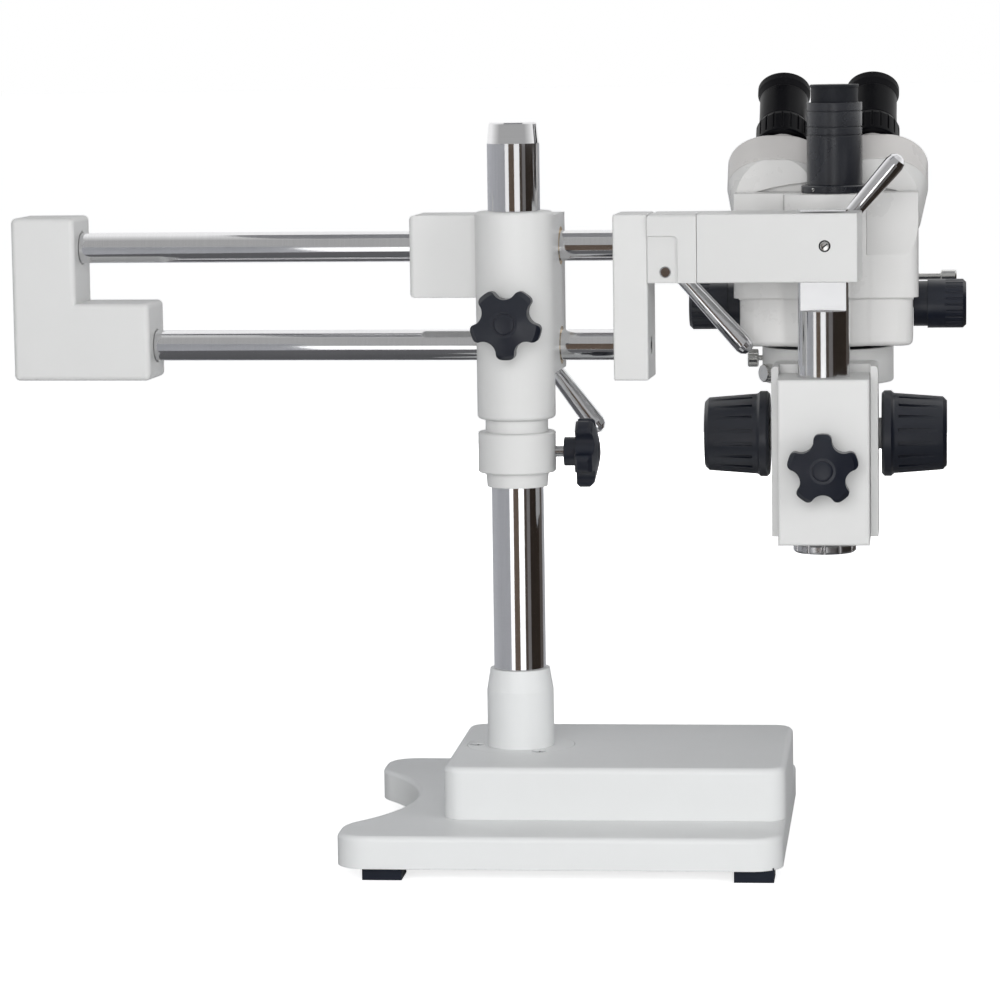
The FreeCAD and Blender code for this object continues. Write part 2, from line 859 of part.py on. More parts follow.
def bar_bushes():
    """Four bushes that the bars run in, one at each end of each bore."""
    outer = number("bush_wide") / 2
    inner = number("bar_wide") / 2 + number("run_gap")
    long = number("bush_long")

    def bush():
        return Part.makeCylinder(outer, long).cut(Part.makeCylinder(inner, long))

    places = []
    for height, left in (("bar_upper_height", "carriage_left"), (LOWER_BAR, "carriage_step")):
        for start in (left, "carriage_wide / 2 - bush_long"):
            places.append(BOOM * Placement(vector(start, "bar_behind", height), ALONG_X))
    solid_group("bar_bushes", bush, places)


def carriage_knob():
    start = "pole_wide / 2 + face_gap"
    tip = Placement(vector(0, f"-({start})", CARRIAGE_KNOB), AGAINST_Y)
    clamp_knob_pair(
        "carriage_knob", "carriage_knob_stud", BOOM, tip,
        f"carriage_wide / 2 + stud_show_short - ({start})", 90,
    )


def lever(name, frame, x, height, stud_from, face, angle):
    """Hub with its stud along the frame's Y, and the tapered handle rod that is screwed into it."""
    swing = Placement(Vector(0, 0, 0), Rotation(Vector(0, 0, 1), -number(angle)))
    hub_place = frame * Placement(vector(x, face, height), ALONG_Y) * swing
    hub = new_body(name + "_lever_hub", hub_place)
    start = f"({stud_from}) - ({face})"
    hub_low = "face_gap"
    hub_top = "(face_gap + lever_hub_long)"
    turn(hub, [
        (0, start),
        ("stud_wide / 2 - 0.6", start),
        ("stud_wide / 2", f"{start} + 0.6"),
        ("stud_wide / 2", hub_low),
        ("lever_hub / 2", hub_low),
        ("lever_hub / 2", f"{hub_top} - 3"),
        ("lever_hub / 2 - 3", hub_top),
        (0, hub_top),
    ])
    middle = f"({hub_low} + lever_hub_long / 2 - 0.5)"
    shoulder = "(lever_hub / 2 - 2.5)"
    pocket(hub, "YZ_Plane", shoulder, "lever_hub", circle(0, middle, "lever_thin + 2 * seat_gap"))
    handle_place = hub_place * Placement(vector(shoulder, 0, middle), ALONG_X)
    handle = new_body(name + "_lever_handle", handle_place)
    end = f"(lever_reach - {shoulder})"
    turn(handle, [
        (0, "seat_gap"),
        ("lever_thin / 2", "seat_gap"),
        ("lever_thin / 2", 10),
        ("lever_thick / 2", f"{end} - 12"),
        ("lever_thick / 2", f"{end} - lever_thick / 2"),
        ("lever_thick / 2 * 0.87", f"{end} - lever_thick / 4"),
        ("lever_thick / 2 * 0.5", f"{end} - lever_thick * 0.067"),
        (0, end),
    ])


# Boom: two bars, the stepped block at one end and the cross plate at the other
def bar(label, height, left):
    """Chromed bar tapped at both ends for a cap screw."""
    place = BOOM * Placement(vector(left, "bar_behind", height), ALONG_X)
    body = new_body(label, place)
    long = f"(cross_left + bar_in_cross - ({left}))"
    tapped = "cap_wide / 2 + run_gap"
    turn(body, [
        (0, 0),
        ("bar_wide / 2 - 1", 0),
        ("bar_wide / 2", 1),
        ("bar_wide / 2", f"{long} - 1"),
        ("bar_wide / 2 - 1", long),
        (tapped, long),
        (tapped, f"{long} - cap_grip - 4"),
        (0, f"{long} - cap_grip - 4"),
    ])


def end_block():
    """Stepped block that holds both bars and nests with the carriage when the boom is run out."""
    body = new_body("end_block", BOOM)
    pad(body, "XZ_Plane", BOOM_FRONT, BOOM_BACK, [
        ("end_left", "end_low"),
        ("end_lower_right", "end_low"),
        ("end_lower_right", "end_step"),
        ("end_upper_right", "end_step"),
        ("end_upper_right", "end_top"),
        ("end_left", "end_top"),
    ])
    round_edges(
        body, "end_round",
        lambda middle, along, edge: not (near(middle.x, "end_upper_right") and near(middle.z, "end_step")),
    )
    for height, right in (("bar_upper_height", "end_upper_right"), (LOWER_BAR, "end_lower_right")):
        pocket(
            body, "YZ_Plane", f"{right} - bar_in_end", right,
            circle("bar_behind", height, "bar_wide + 2 * seat_gap"),
        )
        pocket(
            body, "YZ_Plane", f"{right} - 1.2", right,
            circle("bar_behind", height, "bar_wide + 2.4"),
        )


def cross_plate():
    """Upright plate that ties the bars together and carries the arm's bracket."""
    body = new_body("cross_plate", BOOM)
    pad(body, "XZ_Plane", CROSS_FRONT, CROSS_BACK, box("cross_left", "end_low", "cross_right", "end_top"))
    round_edges(body, "cross_round", lambda middle, along, edge: True)
    for height in ("bar_upper_height", LOWER_BAR):
        pocket(
            body, "YZ_Plane", "cross_left", "cross_left + bar_in_cross",
            circle("bar_behind", height, "bar_wide + 2 * seat_gap"),
        )
        pocket(
            body, "YZ_Plane", "cross_left", "cross_right",
            circle("bar_behind", height, "cap_wide + 2 * run_gap"),
        )
        pocket(
            body, "YZ_Plane", "cross_right - cap_head_high - cap_recess", "cross_right",
            circle("bar_behind", height, "cap_head + 1"),
        )


def bar_end_screws():
    seat = "cross_right - cap_head_high - cap_recess"
    long = number(f"{seat} - cross_left - bar_in_cross + cap_grip")
    places = [
        BOOM * Placement(vector(seat, "bar_behind", height), AGAINST_X)
        for height in ("bar_upper_height", LOWER_BAR)
    ]
    solid_group("bar_end_screws", lambda: cap_screw(long), places)


def arm_bracket():
    """Split block on the cross plate with the bore that the arm's spigot rolls in."""
    body = new_body("arm_bracket", BOOM)
    right = "cross_right + bracket_long"
    pad(body, "XZ_Plane", ARM_FRONT, ARM_BACK, box("cross_right", "arm_low", right, ARM_TOP))
    round_edges(
        body, "bracket_round",
        lambda middle, along, edge: near(middle.z, ARM_TOP) and not near(middle.x, right),
    )
    pocket(
        body, "XZ_Plane", ARM_FRONT, f"{ARM_FRONT} + jaw_deep",
        box("cross_right", "arm_low", "cross_right + jaw_long", "arm_low + jaw_high"),
    )
    round_edges(
        body, "jaw_corner",
        lambda middle, along, edge: abs(along.y) > 0.999 and near(middle.x, "cross_right + jaw_long")
        and near(middle.z, "arm_low + jaw_high"),
    )
    pocket(
        body, "YZ_Plane", "cross_right", right,
        circle("bar_behind", SPIGOT_HEIGHT, "spigot_wide + 2 * run_gap"),
    )
    pocket(
        body, "XZ_Plane", ARM_FRONT, ARM_BACK,
        circle("bracket_lever_x", "bracket_lever_height", "stud_wide + 2 * run_gap"),
    )


# Arm that rolls on its spigot
def arm_body():
    body = new_body("arm_body", BOOM)
    pad(body, "XZ_Plane", ARM_FRONT, ARM_BACK, box(ARM_LEFT, "arm_low", "arm_right", ARM_TOP))
    round_edges(body, "arm_round", lambda middle, along, edge: not near(middle.x, ARM_LEFT))
    pocket(
        body, "YZ_Plane", ARM_LEFT, f"{ARM_LEFT} + spigot_in_arm",
        circle("bar_behind", SPIGOT_HEIGHT, "spigot_wide + 2 * seat_gap"),
    )
    pocket(
        body, "XY_Plane", "arm_low", ARM_TOP,
        circle("post_reach", "bar_behind", "post_wide + 2 * run_gap"),
    )
    pocket(
        body, "XZ_Plane", "bar_behind", ARM_BACK,
        circle("post_reach", "arm_lever_height", "stud_wide + 2 * run_gap"),
    )


def arm_spigot():
    """Pin pressed into the arm; the bracket's split bore closes round it."""
    start = "cross_right + face_gap"
    long = f"({ARM_LEFT} + spigot_in_arm - seat_gap - ({start}))"
    body = new_body("arm_spigot", BOOM * Placement(vector(start, "bar_behind", SPIGOT_HEIGHT), ALONG_X))
    turn(body, [
        (0, 0),
        ("spigot_wide / 2 - 1", 0),
        ("spigot_wide / 2", 1),
        ("spigot_wide / 2", long),
        (0, long),
    ])


# Post and its stop disc
def post():
    """Chromed post with a flat milled on its front below the arm."""
    body = new_body("post", STAGE)
    pad(body, "XY_Plane", "post_low + disc_high", "post_top", circle(0, 0, "post_wide"))
    pocket(
        body, "XY_Plane", "post_flat_low", "post_top",
        box(
            "-post_wide / 2 - 1", "-post_wide / 2 - 1",
            "post_wide / 2 + 1", "post_flat_deep - post_wide / 2",
        ),
    )
    round_edges(body, 0.8, lambda middle, along, edge: near(middle.z, "post_low + disc_high"))


def post_stop_disc():
    body = new_body("post_stop_disc", STAGE)
    top = "(post_low + disc_high - seat_gap)"
    turn(body, [
        (0, "post_low"),
        ("disc_wide / 2 - 1.5", "post_low"),
        ("disc_wide / 2", "post_low + 1.5"),
        ("disc_wide / 2", f"{top} - 1.5"),
        ("disc_wide / 2 - 1.5", top),
        (0, top),
    ])
    notch = pocket(
        body, "XY_Plane", "post_low", "post_low + disc_high",
        circle("disc_wide / 2", 0, "disc_notch"),
    )
    repeat_round_z(body, notch, 12)


# Clamp block with the rack
def clamp_block():
    """Block that slides and turns on the post, with a dovetail on its back for the stage."""
    body = new_body("clamp_block", STAGE)
    half = "clamp_wide / 2"
    pad(body, "XY_Plane", "clamp_low", CLAMP_TOP, [
        (f"-{half}", "-clamp_front"),
        (half, "-clamp_front"),
        (half, "clamp_back"),
        ("dovetail_narrow / 2", "clamp_back"),
        ("dovetail_wide / 2", RACK_ROOT),
        ("-dovetail_wide / 2", RACK_ROOT),
        ("-dovetail_narrow / 2", "clamp_back"),
        (f"-{half}", "clamp_back"),
    ])
    round_edges(body, "clamp_round", lambda middle, along, edge: near(middle.y, "-clamp_front"))
    pocket(body, "XY_Plane", "clamp_low", CLAMP_TOP, circle(0, 0, "post_wide + 2 * run_gap"))
    pocket(
        body, "XY_Plane", "clamp_low", CLAMP_TOP,
        box(
            "-gear_wide / 2 - seat_gap", f"{RACK_ROOT} - rack_back",
            "gear_wide / 2 + seat_gap", f"{RACK_ROOT} + 1",
        ),
    )
    pocket(
        body, "XZ_Plane", "-clamp_front - 1", 0,
        circle(0, CLAMP_KNOB, "stud_wide + 2 * run_gap"),
    )


def clamp_knob():
    start = "post_wide / 2 + face_gap"
    tip = Placement(vector(0, f"-({start})", CLAMP_KNOB), AGAINST_Y)
    clamp_knob_pair(
        "clamp_knob", "clamp_knob_stud", STAGE, tip,
        f"clamp_front + stud_show_short - ({start})", -90,
    )


def focus_rack():
    """Straight rack let into the dovetail, its teeth standing towards the pinion."""
    body = new_body("focus_rack", STAGE)
    root = RACK_ROOT
    half_tooth = f"({PITCH} * 0.25 - gear_slack / 2)"
    rise = "0.2679 * gear_module"
    points = [(f"{RACK_ROOT} - rack_back + seat_gap", RACK_LOW)]
    for tooth in range(int(SIZES["rack_teeth"])):
        middle = f"{RACK_LOW} + {PITCH} * ({tooth} + 0.5)"
        points += [
            (root, f"{middle} - {half_tooth} - {rise} * 1.25"),
            (f"{root} + 2 * gear_module", f"{middle} - {half_tooth} + {rise} * 0.75"),
            (f"{root} + 2 * gear_module", f"{middle} + {half_tooth} - {rise} * 0.75"),
            (root, f"{middle} + {half_tooth} + {rise} * 1.25"),
        ]
    points.append((f"{RACK_ROOT} - rack_back + seat_gap", f"{RACK_LOW} + {PITCH} * rack_teeth"))
    pad(body, "YZ_Plane", "-gear_wide / 2", "gear_wide / 2", points)


def pinion_shaft():
    """Shaft across the stage with the pinion cut in its middle."""
    end = "(stage_wide / 2 + bush_show + knob_long * 0.6)"
    place = STAGE * Placement(vector(f"-{end}", SHAFT_Y, "shaft_height"), ALONG_X)
    body = new_body("pinion_shaft", place)
    turn(body, [
        (0, 0),
        ("shaft_wide / 2 - 0.5", 0),
        ("shaft_wide / 2", 0.5),
        ("shaft_wide / 2", f"2 * {end} - 0.5"),
        ("shaft_wide / 2 - 0.5", f"2 * {end}"),
        (0, f"2 * {end}"),
    ])
    root = f"({PITCH_RADIUS} - 1.25 * gear_module)"
    tip = f"({PITCH_RADIUS} + 0.7 * gear_module)"
    points = []
    for tooth in range(int(SIZES["gear_teeth"])):
        middle = f"(-90 + 360 * {tooth} / gear_teeth)"
        for radius, half in ((root, 0.98), (tip, 0.42), (tip, -0.42), (root, -0.98)):
            angle = f"({middle} - {half} * gear_module / {radius} * 180 / pi)"
            points.append((f"{radius} * cos({angle})", f"{radius} * sin({angle})"))
    pad(body, "XY_Plane", f"{end} - gear_wide / 2", f"{end} + gear_wide / 2", points)


def shaft_bushes():
    """Flanged bushes that the shaft turns in, pressed into the stage from both sides."""
    inner = number("shaft_wide / 2 + run_gap")
    sleeve_long = number("bush_long")

    def bush():
        sleeve = Part.makeCylinder(number("shaft_wide / 2 + 3"), sleeve_long, Vector(0, 0, -sleeve_long))
        flange = Part.makeCylinder(number("bush_flange / 2"), number("bush_show"))
        bore = Part.makeCylinder(inner, 4 * sleeve_long, Vector(0, 0, -2 * sleeve_long))
        return sleeve.fuse(flange).removeSplitter().cut(bore)

    places = [
        STAGE * Placement(vector(f"{side} * stage_wide / 2", SHAFT_Y, "shaft_height"), turned)
        for side, turned in ((1, ALONG_X), (-1, AGAINST_X))
    ]
    solid_group("shaft_bushes", bush, places)


def focus_stage():
    """Slide with cheeks round the clamp block and the ring that carries the optical head."""
    body = new_body("focus_stage", STAGE)
    half = "stage_wide / 2"
    inner = "(clamp_wide / 2 + face_gap)"
    front = f"({STAGE_FRONT} - stage_cheek)"
    slot_narrow = "(dovetail_narrow / 2 + face_gap * 1.5)"
    slot_wide = "(dovetail_wide / 2 + face_gap * 1.5)"
    slot_back = f"({RACK_ROOT} + face_gap)"
    right_side = [
        (half, "stage_back"),
        (half, front),
        (inner, front),
        (inner, STAGE_FRONT),
        (slot_narrow, STAGE_FRONT),
        (slot_wide, slot_back),
    ]
    pad(body, "XY_Plane", "stage_low", "stage_top", right_side + mirrored(right_side))
    round_edges(
        body, "stage_round",
        lambda middle, along, edge: near(abs(middle.x), half) and near(middle.z, "stage_top"),
    )
    pad(
        body, "XY_Plane", "neck_low", "neck_top",
        box("-neck_wide / 2", "stage_back - 1", "neck_wide / 2", "ring_offset - ring_bore / 2"),
    )
    pad(body, "XY_Plane", "ring_low", RING_TOP, circle(0, "ring_offset", "ring_wide"))
    round_edges(
        body, "ring_round",
        lambda middle, along, edge: near(middle.z, "ring_low") and edge.Length > 20,
    )
    pocket(
        body, "XY_Plane", "ring_low - 1", f"{RING_TOP} + 1",
        circle(0, "ring_offset", "ring_bore + 2 * run_gap"),
    )
    pocket(
        body, "XY_Plane", "stage_low", "stage_top",
        box(
            "-gear_wide / 2 - 1", f"{slot_back} - 1",
            "gear_wide / 2 + 1", f"{RACK_ROOT} + 2 * gear_module + face_gap",
        ),
    )
    gear_room = f"{SHAFT_Y} + {PITCH_RADIUS} + 1.5 * gear_module"
    pocket(
        body, "XY_Plane", "shaft_height - 9 * gear_module", "shaft_height + 9 * gear_module",
        box("-gear_wide / 2 - 1", f"{slot_back} - 1", "gear_wide / 2 + 1", gear_room),
    )
    pocket(body, "YZ_Plane", f"-{half}", half, circle(SHAFT_Y, "shaft_height", "shaft_wide + 2"))
    for low, high in ((f"{half} - bush_long", half), (f"-{half}", f"-{half} + bush_long")):
        pocket(
            body, "YZ_Plane", low, high,
            circle(SHAFT_Y, "shaft_height", "shaft_wide + 6 + 2 * seat_gap"),
        )
    for angle, height in THUMB_SCREWS:
        hole = body.newObject("PartDesign::SubtractiveCylinder", "thumb_screw_hole")
        bind(hole, "Radius", "thumb_stud / 2 + run_gap")
        bind(hole, "Height", "ring_wide - ring_bore")
        turned = Rotation(Vector(0, 0, 1), number(angle)) * ALONG_X
        start = "(ring_bore / 2 - 2)"
        centre = vector(f"{start} * cos({angle})", f"ring_offset + {start} * sin({angle})", height)
        hole.AttachmentOffset = Placement(centre, turned)
        hole.AttachmentSupport = [(origin_plane(body, "XY_Plane"), "")]
        hole.MapMode = "FlatFace"
        doc.recompute()


def focus_knob(label, side, turned):
    """Ribbed knob whose wide rim faces the stage and whose body tapers outwards."""
    place = STAGE * Placement(
        vector(f"{side} * (stage_wide / 2 + bush_show + face_gap)", SHAFT_Y, "shaft_height"), turned
    )
    body = new_body(label, place)
    long = "(knob_rim_long + knob_long)"
    bore = "shaft_wide / 2 + seat_gap"
    deep = "knob_long * 0.6"
    turn(body, [
        (bore, 0),
        ("knob_rim_wide / 2 - 2", 0),
        ("knob_rim_wide / 2", 2),
        ("knob_rim_wide / 2", "knob_rim_long - 1.5"),
        ("knob_rim_wide / 2 - 1.5", "knob_rim_long"),
        ("knob_wide / 2 - 1.2", "knob_rim_long + 1"),
        ("knob_end / 2 + 0.6", f"{long} - 3"),
        ("knob_end / 2 - 2.4", long),
        ("knob_end / 2 - 6", long),
        ("knob_end / 2 - 7", f"{long} - 1"),
        (0, f"{long} - 1"),
        (0, deep),
        (bore, deep),
    ])
    mid_radius = "(knob_wide + knob_end) / 4"
    cut = pocket(
        body, "XY_Plane", "knob_rim_long + 4", "knob_rim_long + 4 + knob_groove_long",
        box(
            f"{mid_radius} - knob_groove_deep", "-knob_groove_wide / 2",
            "knob_wide", "knob_groove_wide / 2",
        ),
    )
    repeat_round_z(body, cut, "knob_ribs")


THUMB_SCREWS = (
    ("thumb_upper_angle", "thumb_upper_height"),
    ("thumb_lower_angle", "thumb_lower_height"),
)


def thumb_screw(label, angle, height):
    """Knurled screw whose point bears on the head's mount."""
    start = "(ring_bore / 2 + face_gap)"
    centre = vector(f"{start} * cos({angle})", f"ring_offset + {start} * sin({angle})", height)
    place = STAGE * Placement(centre, Rotation(Vector(0, 0, 1), number(angle)) * ALONG_X)
    body = new_body(label, place)
    head = f"(ring_wide / 2 + thumb_show - {start})"
    turn(body, [
        (0, 0),
        ("thumb_stud / 2", 0),
        ("thumb_stud / 2", head),
        ("thumb_wide / 2 - 0.8", head),
        ("thumb_wide / 2", f"{head} + 0.8"),
        ("thumb_wide / 2", f"{head} + thumb_long - 0.8"),
        ("thumb_wide / 2 - 0.8", f"{head} + thumb_long"),
        (0, f"{head} + thumb_long"),
    ])
    cut = pocket(body, "XY_Plane", head, f"{head} + thumb_long", circle("thumb_wide / 2 + 0.4", 0, 2))
    repeat_round_z(body, cut, "thumb_ribs")


# Optical head
def mount_ring():
    """Black mount that turns in the stage's ring, with a web that holds the two front lenses."""
    body = new_body("mount_ring", HEAD)
    turn(body, [
        (0, "mount_low"),
        ("ring_bore / 2 - 1", "mount_low"),
        ("ring_bore / 2", "mount_low + 1"),
        ("ring_bore / 2", f"{RING_TOP} + face_gap"),
        ("mount_flange / 2", f"{RING_TOP} + face_gap"),
        ("mount_flange / 2", HEAD_LOW),
        ("mount_bore / 2", HEAD_LOW),
        ("mount_bore / 2", "mount_low + 2 + mount_web"),
        (0, "mount_low + 2 + mount_web"),
    ])
    pocket(
        body, "XY_Plane", "mount_low", "mount_low + 2",
        circle(0, 0, "mount_bore"),
    )
    pocket(body, "XY_Plane", "mount_low", HEAD_LOW, *lens_circles("objective_wide + 2 * seat_gap"))


def lens_circles(diameter):
    return [circle(f"{side} * objective_spacing / 2", 0, diameter) for side in (-1, 1)]


def objective_lenses():
    """Two front lenses, each a disc with a convex lower face."""
    body = new_body("objective_lenses", HEAD)
    low = "mount_low + 2"
    pad(body, "XY_Plane", low, f"{low} + objective_thick", *lens_circles("objective_wide"))
    round_edges(body, 0.8, lambda middle, along, edge: near(middle.z, low))


def head_plan(body, wide, low, high, inset=0, cut=False):
    """A D shaped slab or cut: a half circle towards the user and a flat face towards the post."""
    half = f"({wide} / 2 - {inset})"
    front = f"(head_front + ({wide} - head_wide) / 2 - {inset})"
    for outline in (circle(0, 0, f"2 * {half}"), box(f"-{half}", f"-{front}", half, 0)):
        if cut:
            pocket(body, "XY_Plane", low, high, outline)
        else:
            pad(body, "XY_Plane", low, high, outline)


def zoom_body():
    """Lower housing of the head, open at the top under the cover."""
    body = new_body("zoom_body", HEAD)
    head_plan(body, "head_wide", HEAD_LOW, "head_seam - seat_gap")
    round_edges(
        body, "head_corner",
        lambda middle, along, edge: upright(along) and near(middle.y, "-head_front"),
    )
    round_edges(body, "head_round", lambda middle, along, edge: near(middle.z, HEAD_LOW))
    head_plan(body, "cover_wide", "head_seam - 1", "head_seam + head_joint", "(head_wall + seat_gap)")
    head_plan(
        body, "cover_wide", f"{HEAD_LOW} + head_wall", "head_seam + head_joint", "(2 * head_wall)", True
    )
    pocket(body, "XY_Plane", HEAD_LOW, f"{HEAD_LOW} + head_wall", circle(0, 0, "mount_bore"))
    pocket(
        body, "YZ_Plane", "-head_wide / 2", "head_wide / 2",
        circle(0, ZOOM_HEIGHT, "zoom_shaft + 2 * run_gap"),
    )


def head_cover():
    """Hollow upper housing: sloped face, two tapered seats for the prism housings and a port."""
    body = new_body("head_cover", HEAD)
    front = "(head_front + (cover_wide - head_wide) / 2)"
    outer = "(cover_wide / 2)"
    head_plan(body, "cover_wide", "head_seam", "cover_top")
    round_edges(
        body, "head_corner",
        lambda middle, along, edge: upright(along) and near(middle.y, f"-{front}"),
    )
    pocket(body, "YZ_Plane", f"-{outer} - 1", f"{outer} + 1", [
        (f"-{front} - 1", "cover_slope_low"),
        (f"-{front}", "cover_slope_low"),
        (f"-{front} + cover_slope_in", "cover_top"),
        (f"-{front} + cover_slope_in", "cover_top + 20"),
        (f"-{front} - 1", "cover_top + 20"),
    ])
    pocket(body, "YZ_Plane", f"-{outer} - 1", f"{outer} + 1", [
        ("cover_plane - cover_top - 20", "cover_top + 20"),
        (f"{outer} + 5", f"cover_plane - {outer} - 5"),
        (f"{outer} + 5", "cover_top + 20"),
    ])
    for side in (-1, 1):
        for bulge in ("0", "pod_bulge"):
            pod_seat(body, side, bulge)
    pocket(
        body, "XY_Plane", "cover_top", "cover_top + 2 * base_deep",
        box(f"-{outer} - 20", f"-{outer} - 20", f"{outer} + 20", "base_front"),
    )
    pocket(body, "XZ_Plane", "base_front - 1", "base_front + arch_deep", arch_points())
    pad(body, "XY_Plane", "cover_slope_low", "cover_top", circle("port_x", "port_y", "port_wide"))
    pocket(
        body, "XY_Plane", "cover_top", "cover_top + port_ring_high + 1",
        circle("port_x", "port_y", "port_wide + 1.2"),
    )
    head_plan(body, "cover_wide", "head_seam", "cover_slope_low - head_wall", "head_wall", True)
    pocket(
        body, "XY_Plane", "cover_slope_low - head_wall - 1", "cover_top",
        circle("port_x", "port_y", "tube_bore"),
    )
    pocket(
        body, "YZ_Plane", f"-{outer} - 1", f"{outer} + 1",
        circle(0, ZOOM_HEIGHT, "zoom_collar_wide + 1.2"),
    )
    pocket(
        body, "YZ_Plane", 0, f"{outer} + 1",
        circle("rod_y", "rod_height", "rod_wide + 2 * run_gap"),
    )


def pod_seat(body, side, bulge):
    """Tapered seat under a prism housing, its top in the cover's slanted plane."""
    drop = "base_deep / sqrt(2)"
    across = f"{side} * (pupil_spacing / 2 + {bulge})"
    centre = vector(across, f"pod_pivot_y - {drop}", f"{POD_PIVOT_Z} - {drop}")
    cone = body.newObject("PartDesign::AdditiveCone", "seat")
    bind(cone, "Radius1", "base_foot / 2")
    bind(cone, "Radius2", "pod_round_wide / 2")
    bind(cone, "Height", "base_deep")
    cone.AttachmentSupport = [(origin_plane(body, "XY_Plane"), "")]
    cone.MapMode = "FlatFace"
    cone.AttachmentOffset = Placement(centre, Rotation(Vector(1, 0, 0), -number("pod_tilt")))
    doc.recompute()


def arch_points():
    """Outline of the shallow arch in the front of the seats, from left to right."""
    steps = 8
    radius = "((arch_wide / 2) ^ 2 + arch_high ^ 2) / (2 * arch_high)"
    points = []
    for step in range(steps + 1):
        across = f"arch_wide * ({step} / {steps} - 0.5)"
        rise = f"sqrt(({radius}) ^ 2 - ({across}) ^ 2) - ({radius}) + arch_high"
        points.append((across, f"cover_top + {rise}"))
    return points


# Zoom drive
def zoom_shaft():
    end = "(head_wide / 2 + zoom_collar_long + zoom_long * 0.5)"
    body = new_body("zoom_shaft", HEAD * Placement(vector(f"-{end}", 0, ZOOM_HEIGHT), ALONG_X))
    turn(body, box(0, 0, "zoom_shaft / 2", f"2 * {end}"))


def zoom_knob(label, side, turned):
    """Knurled knob with a plain collar that stands in the cover's notch."""
    place = HEAD * Placement(vector(f"{side} * (head_wide / 2 + face_gap)", 0, ZOOM_HEIGHT), turned)
    body = new_body(label, place)
    collar = "zoom_collar_long"
    end = f"({collar} + zoom_long)"
    bore = "zoom_shaft / 2 + seat_gap"
    turn(body, [
        (bore, 0),
        ("zoom_collar_wide / 2", 0),
        ("zoom_collar_wide / 2", collar),
        ("zoom_wide / 2", collar),
        ("zoom_wide / 2", f"{end} - zoom_chamfer"),
        ("zoom_wide / 2 - zoom_chamfer", end),
        (0, end),
        (0, f"{collar} + zoom_long * 0.5"),
        (bore, f"{collar} + zoom_long * 0.5"),
    ])
    cut = pocket(
        body, "XY_Plane", f"{end} - zoom_chamfer - zoom_groove_long", f"{end} - zoom_chamfer",
        circle("zoom_wide / 2 + zoom_groove_deep * 0.2", 0, "2 * zoom_groove_deep"),
    )
    repeat_round_z(body, cut, "zoom_grooves")


def splitter_rod():
    """Pull rod with its knob."""
    start = "(cover_wide / 2 - head_wall - rod_in)"
    body = new_body("splitter_rod", HEAD * Placement(vector(start, "rod_y", "rod_height"), ALONG_X))
    out = f"(rod_out - {start})"
    turn(body, [
        (0, 0),
        ("rod_wide / 2", 0),
        ("rod_wide / 2", out),
        ("rod_knob_wide / 2 - 1", out),
        ("rod_knob_wide / 2", f"{out} + 1"),
        ("rod_knob_wide / 2", f"{out} + rod_knob_long - 1"),
        ("rod_knob_wide / 2 - 1", f"{out} + rod_knob_long"),
        (0, f"{out} + rod_knob_long"),
    ])


# Prism housings and eyepieces
def pod_place(side):
    """Frame on the cover's slanted seat: Z out of the seat, Y down it."""
    lift = "face_gap / sqrt(2)"
    centre = vector(f"{side} * pupil_spacing / 2", f"pod_pivot_y + {lift}", f"{POD_PIVOT_Z} + {lift}")
    return HEAD * Placement(centre, Rotation(Vector(1, 0, 0), -number("pod_tilt")))


def prism_housing(label, side):
    """Drum bulged to its outer side, with the tube that takes the eyepiece."""
    body = new_body(label, pod_place(side))
    pad(body, "XY_Plane", 0, "pod_thick", circle(0, 0, "pod_round_wide"))
    bulge = f"{side} * pod_bulge"
    pad(body, "XY_Plane", 0, "pod_thick", circle(bulge, 0, "pod_round_wide"))
    pad(
        body, "XY_Plane", 0, "pod_thick",
        box(f"min(0; {bulge})", "-pod_round_wide / 2", f"max(0; {bulge})", "pod_round_wide / 2"),
    )
    round_edges(body, "pod_under_round", lambda middle, along, edge: near(middle.z, 0))
    round_edges(body, "pod_top_round", lambda middle, along, edge: near(middle.z, "pod_thick"))
    pad(
        body, "XY_Plane", "pod_thick - 1", "pod_thick + eye_tube_high",
        circle(0, "-eye_offset", "eye_tube_wide"),
    )
    pocket(
        body, "XY_Plane", "pod_thick", "pod_thick + eye_tube_high",
        circle(0, "-eye_offset", "eye_tube_wide - 6"),
    )


def eye_place(side):
    """Frame on the eyepiece's axis, at the outer face of its prism housing."""
    return pod_place(side) * Placement(vector(0, "-eye_offset", "pod_thick"), Rotation())


def diopter_ring(label, side):
    """Ribbed ring that turns on the eyepiece tube."""
    body = new_body(label, eye_place(side))
    bore = "eye_tube_wide / 2 + run_gap"
    top = "(diopter_low + diopter_high)"
    turn(body, [
        (bore, "diopter_low"),
        ("diopter_wide / 2 - 1", "diopter_low"),
        ("diopter_wide / 2", "diopter_low + 1"),
        ("diopter_wide / 2", f"{top} - 4"),
        ("eyepiece_wide / 2 + 0.2", top),
        (bore, top),
    ])
    cut = pocket(
        body, "XY_Plane", "diopter_low + 3", top,
        box("diopter_wide / 2 - 1.2", -0.8, "diopter_wide", 0.8),
    )
    repeat_round_z(body, cut, "diopter_ribs")


def eyepiece(label, side):
    """Barrel with its nose in the tube and a recess for the eye lens."""
    body = new_body(label, eye_place(side))
    low = "eye_tube_high"
    top = "(eye_tube_high + eyepiece_high - eyecup_low)"
    nose = "eye_tube_wide / 2 - 3 - seat_gap"
    turn(body, [
        (0, f"{low} - 16"),
        (nose, f"{low} - 16"),
        (nose, low),
        ("eyepiece_wide / 2", low),
        ("eyepiece_wide / 2", f"{top} - eyecup_low + 1"),
        ("eyepiece_wide / 2 - 2", f"{top} - eyecup_low + 1"),
        ("eyepiece_wide / 2 - 2", top),
        ("eyepiece_lens / 2", top),
        ("eyepiece_lens / 2", f"{top} - 2.5"),
        ("eyepiece_lens / 4", f"{top} - 1.6"),
        (0, f"{top} - 1.3"),
    ])


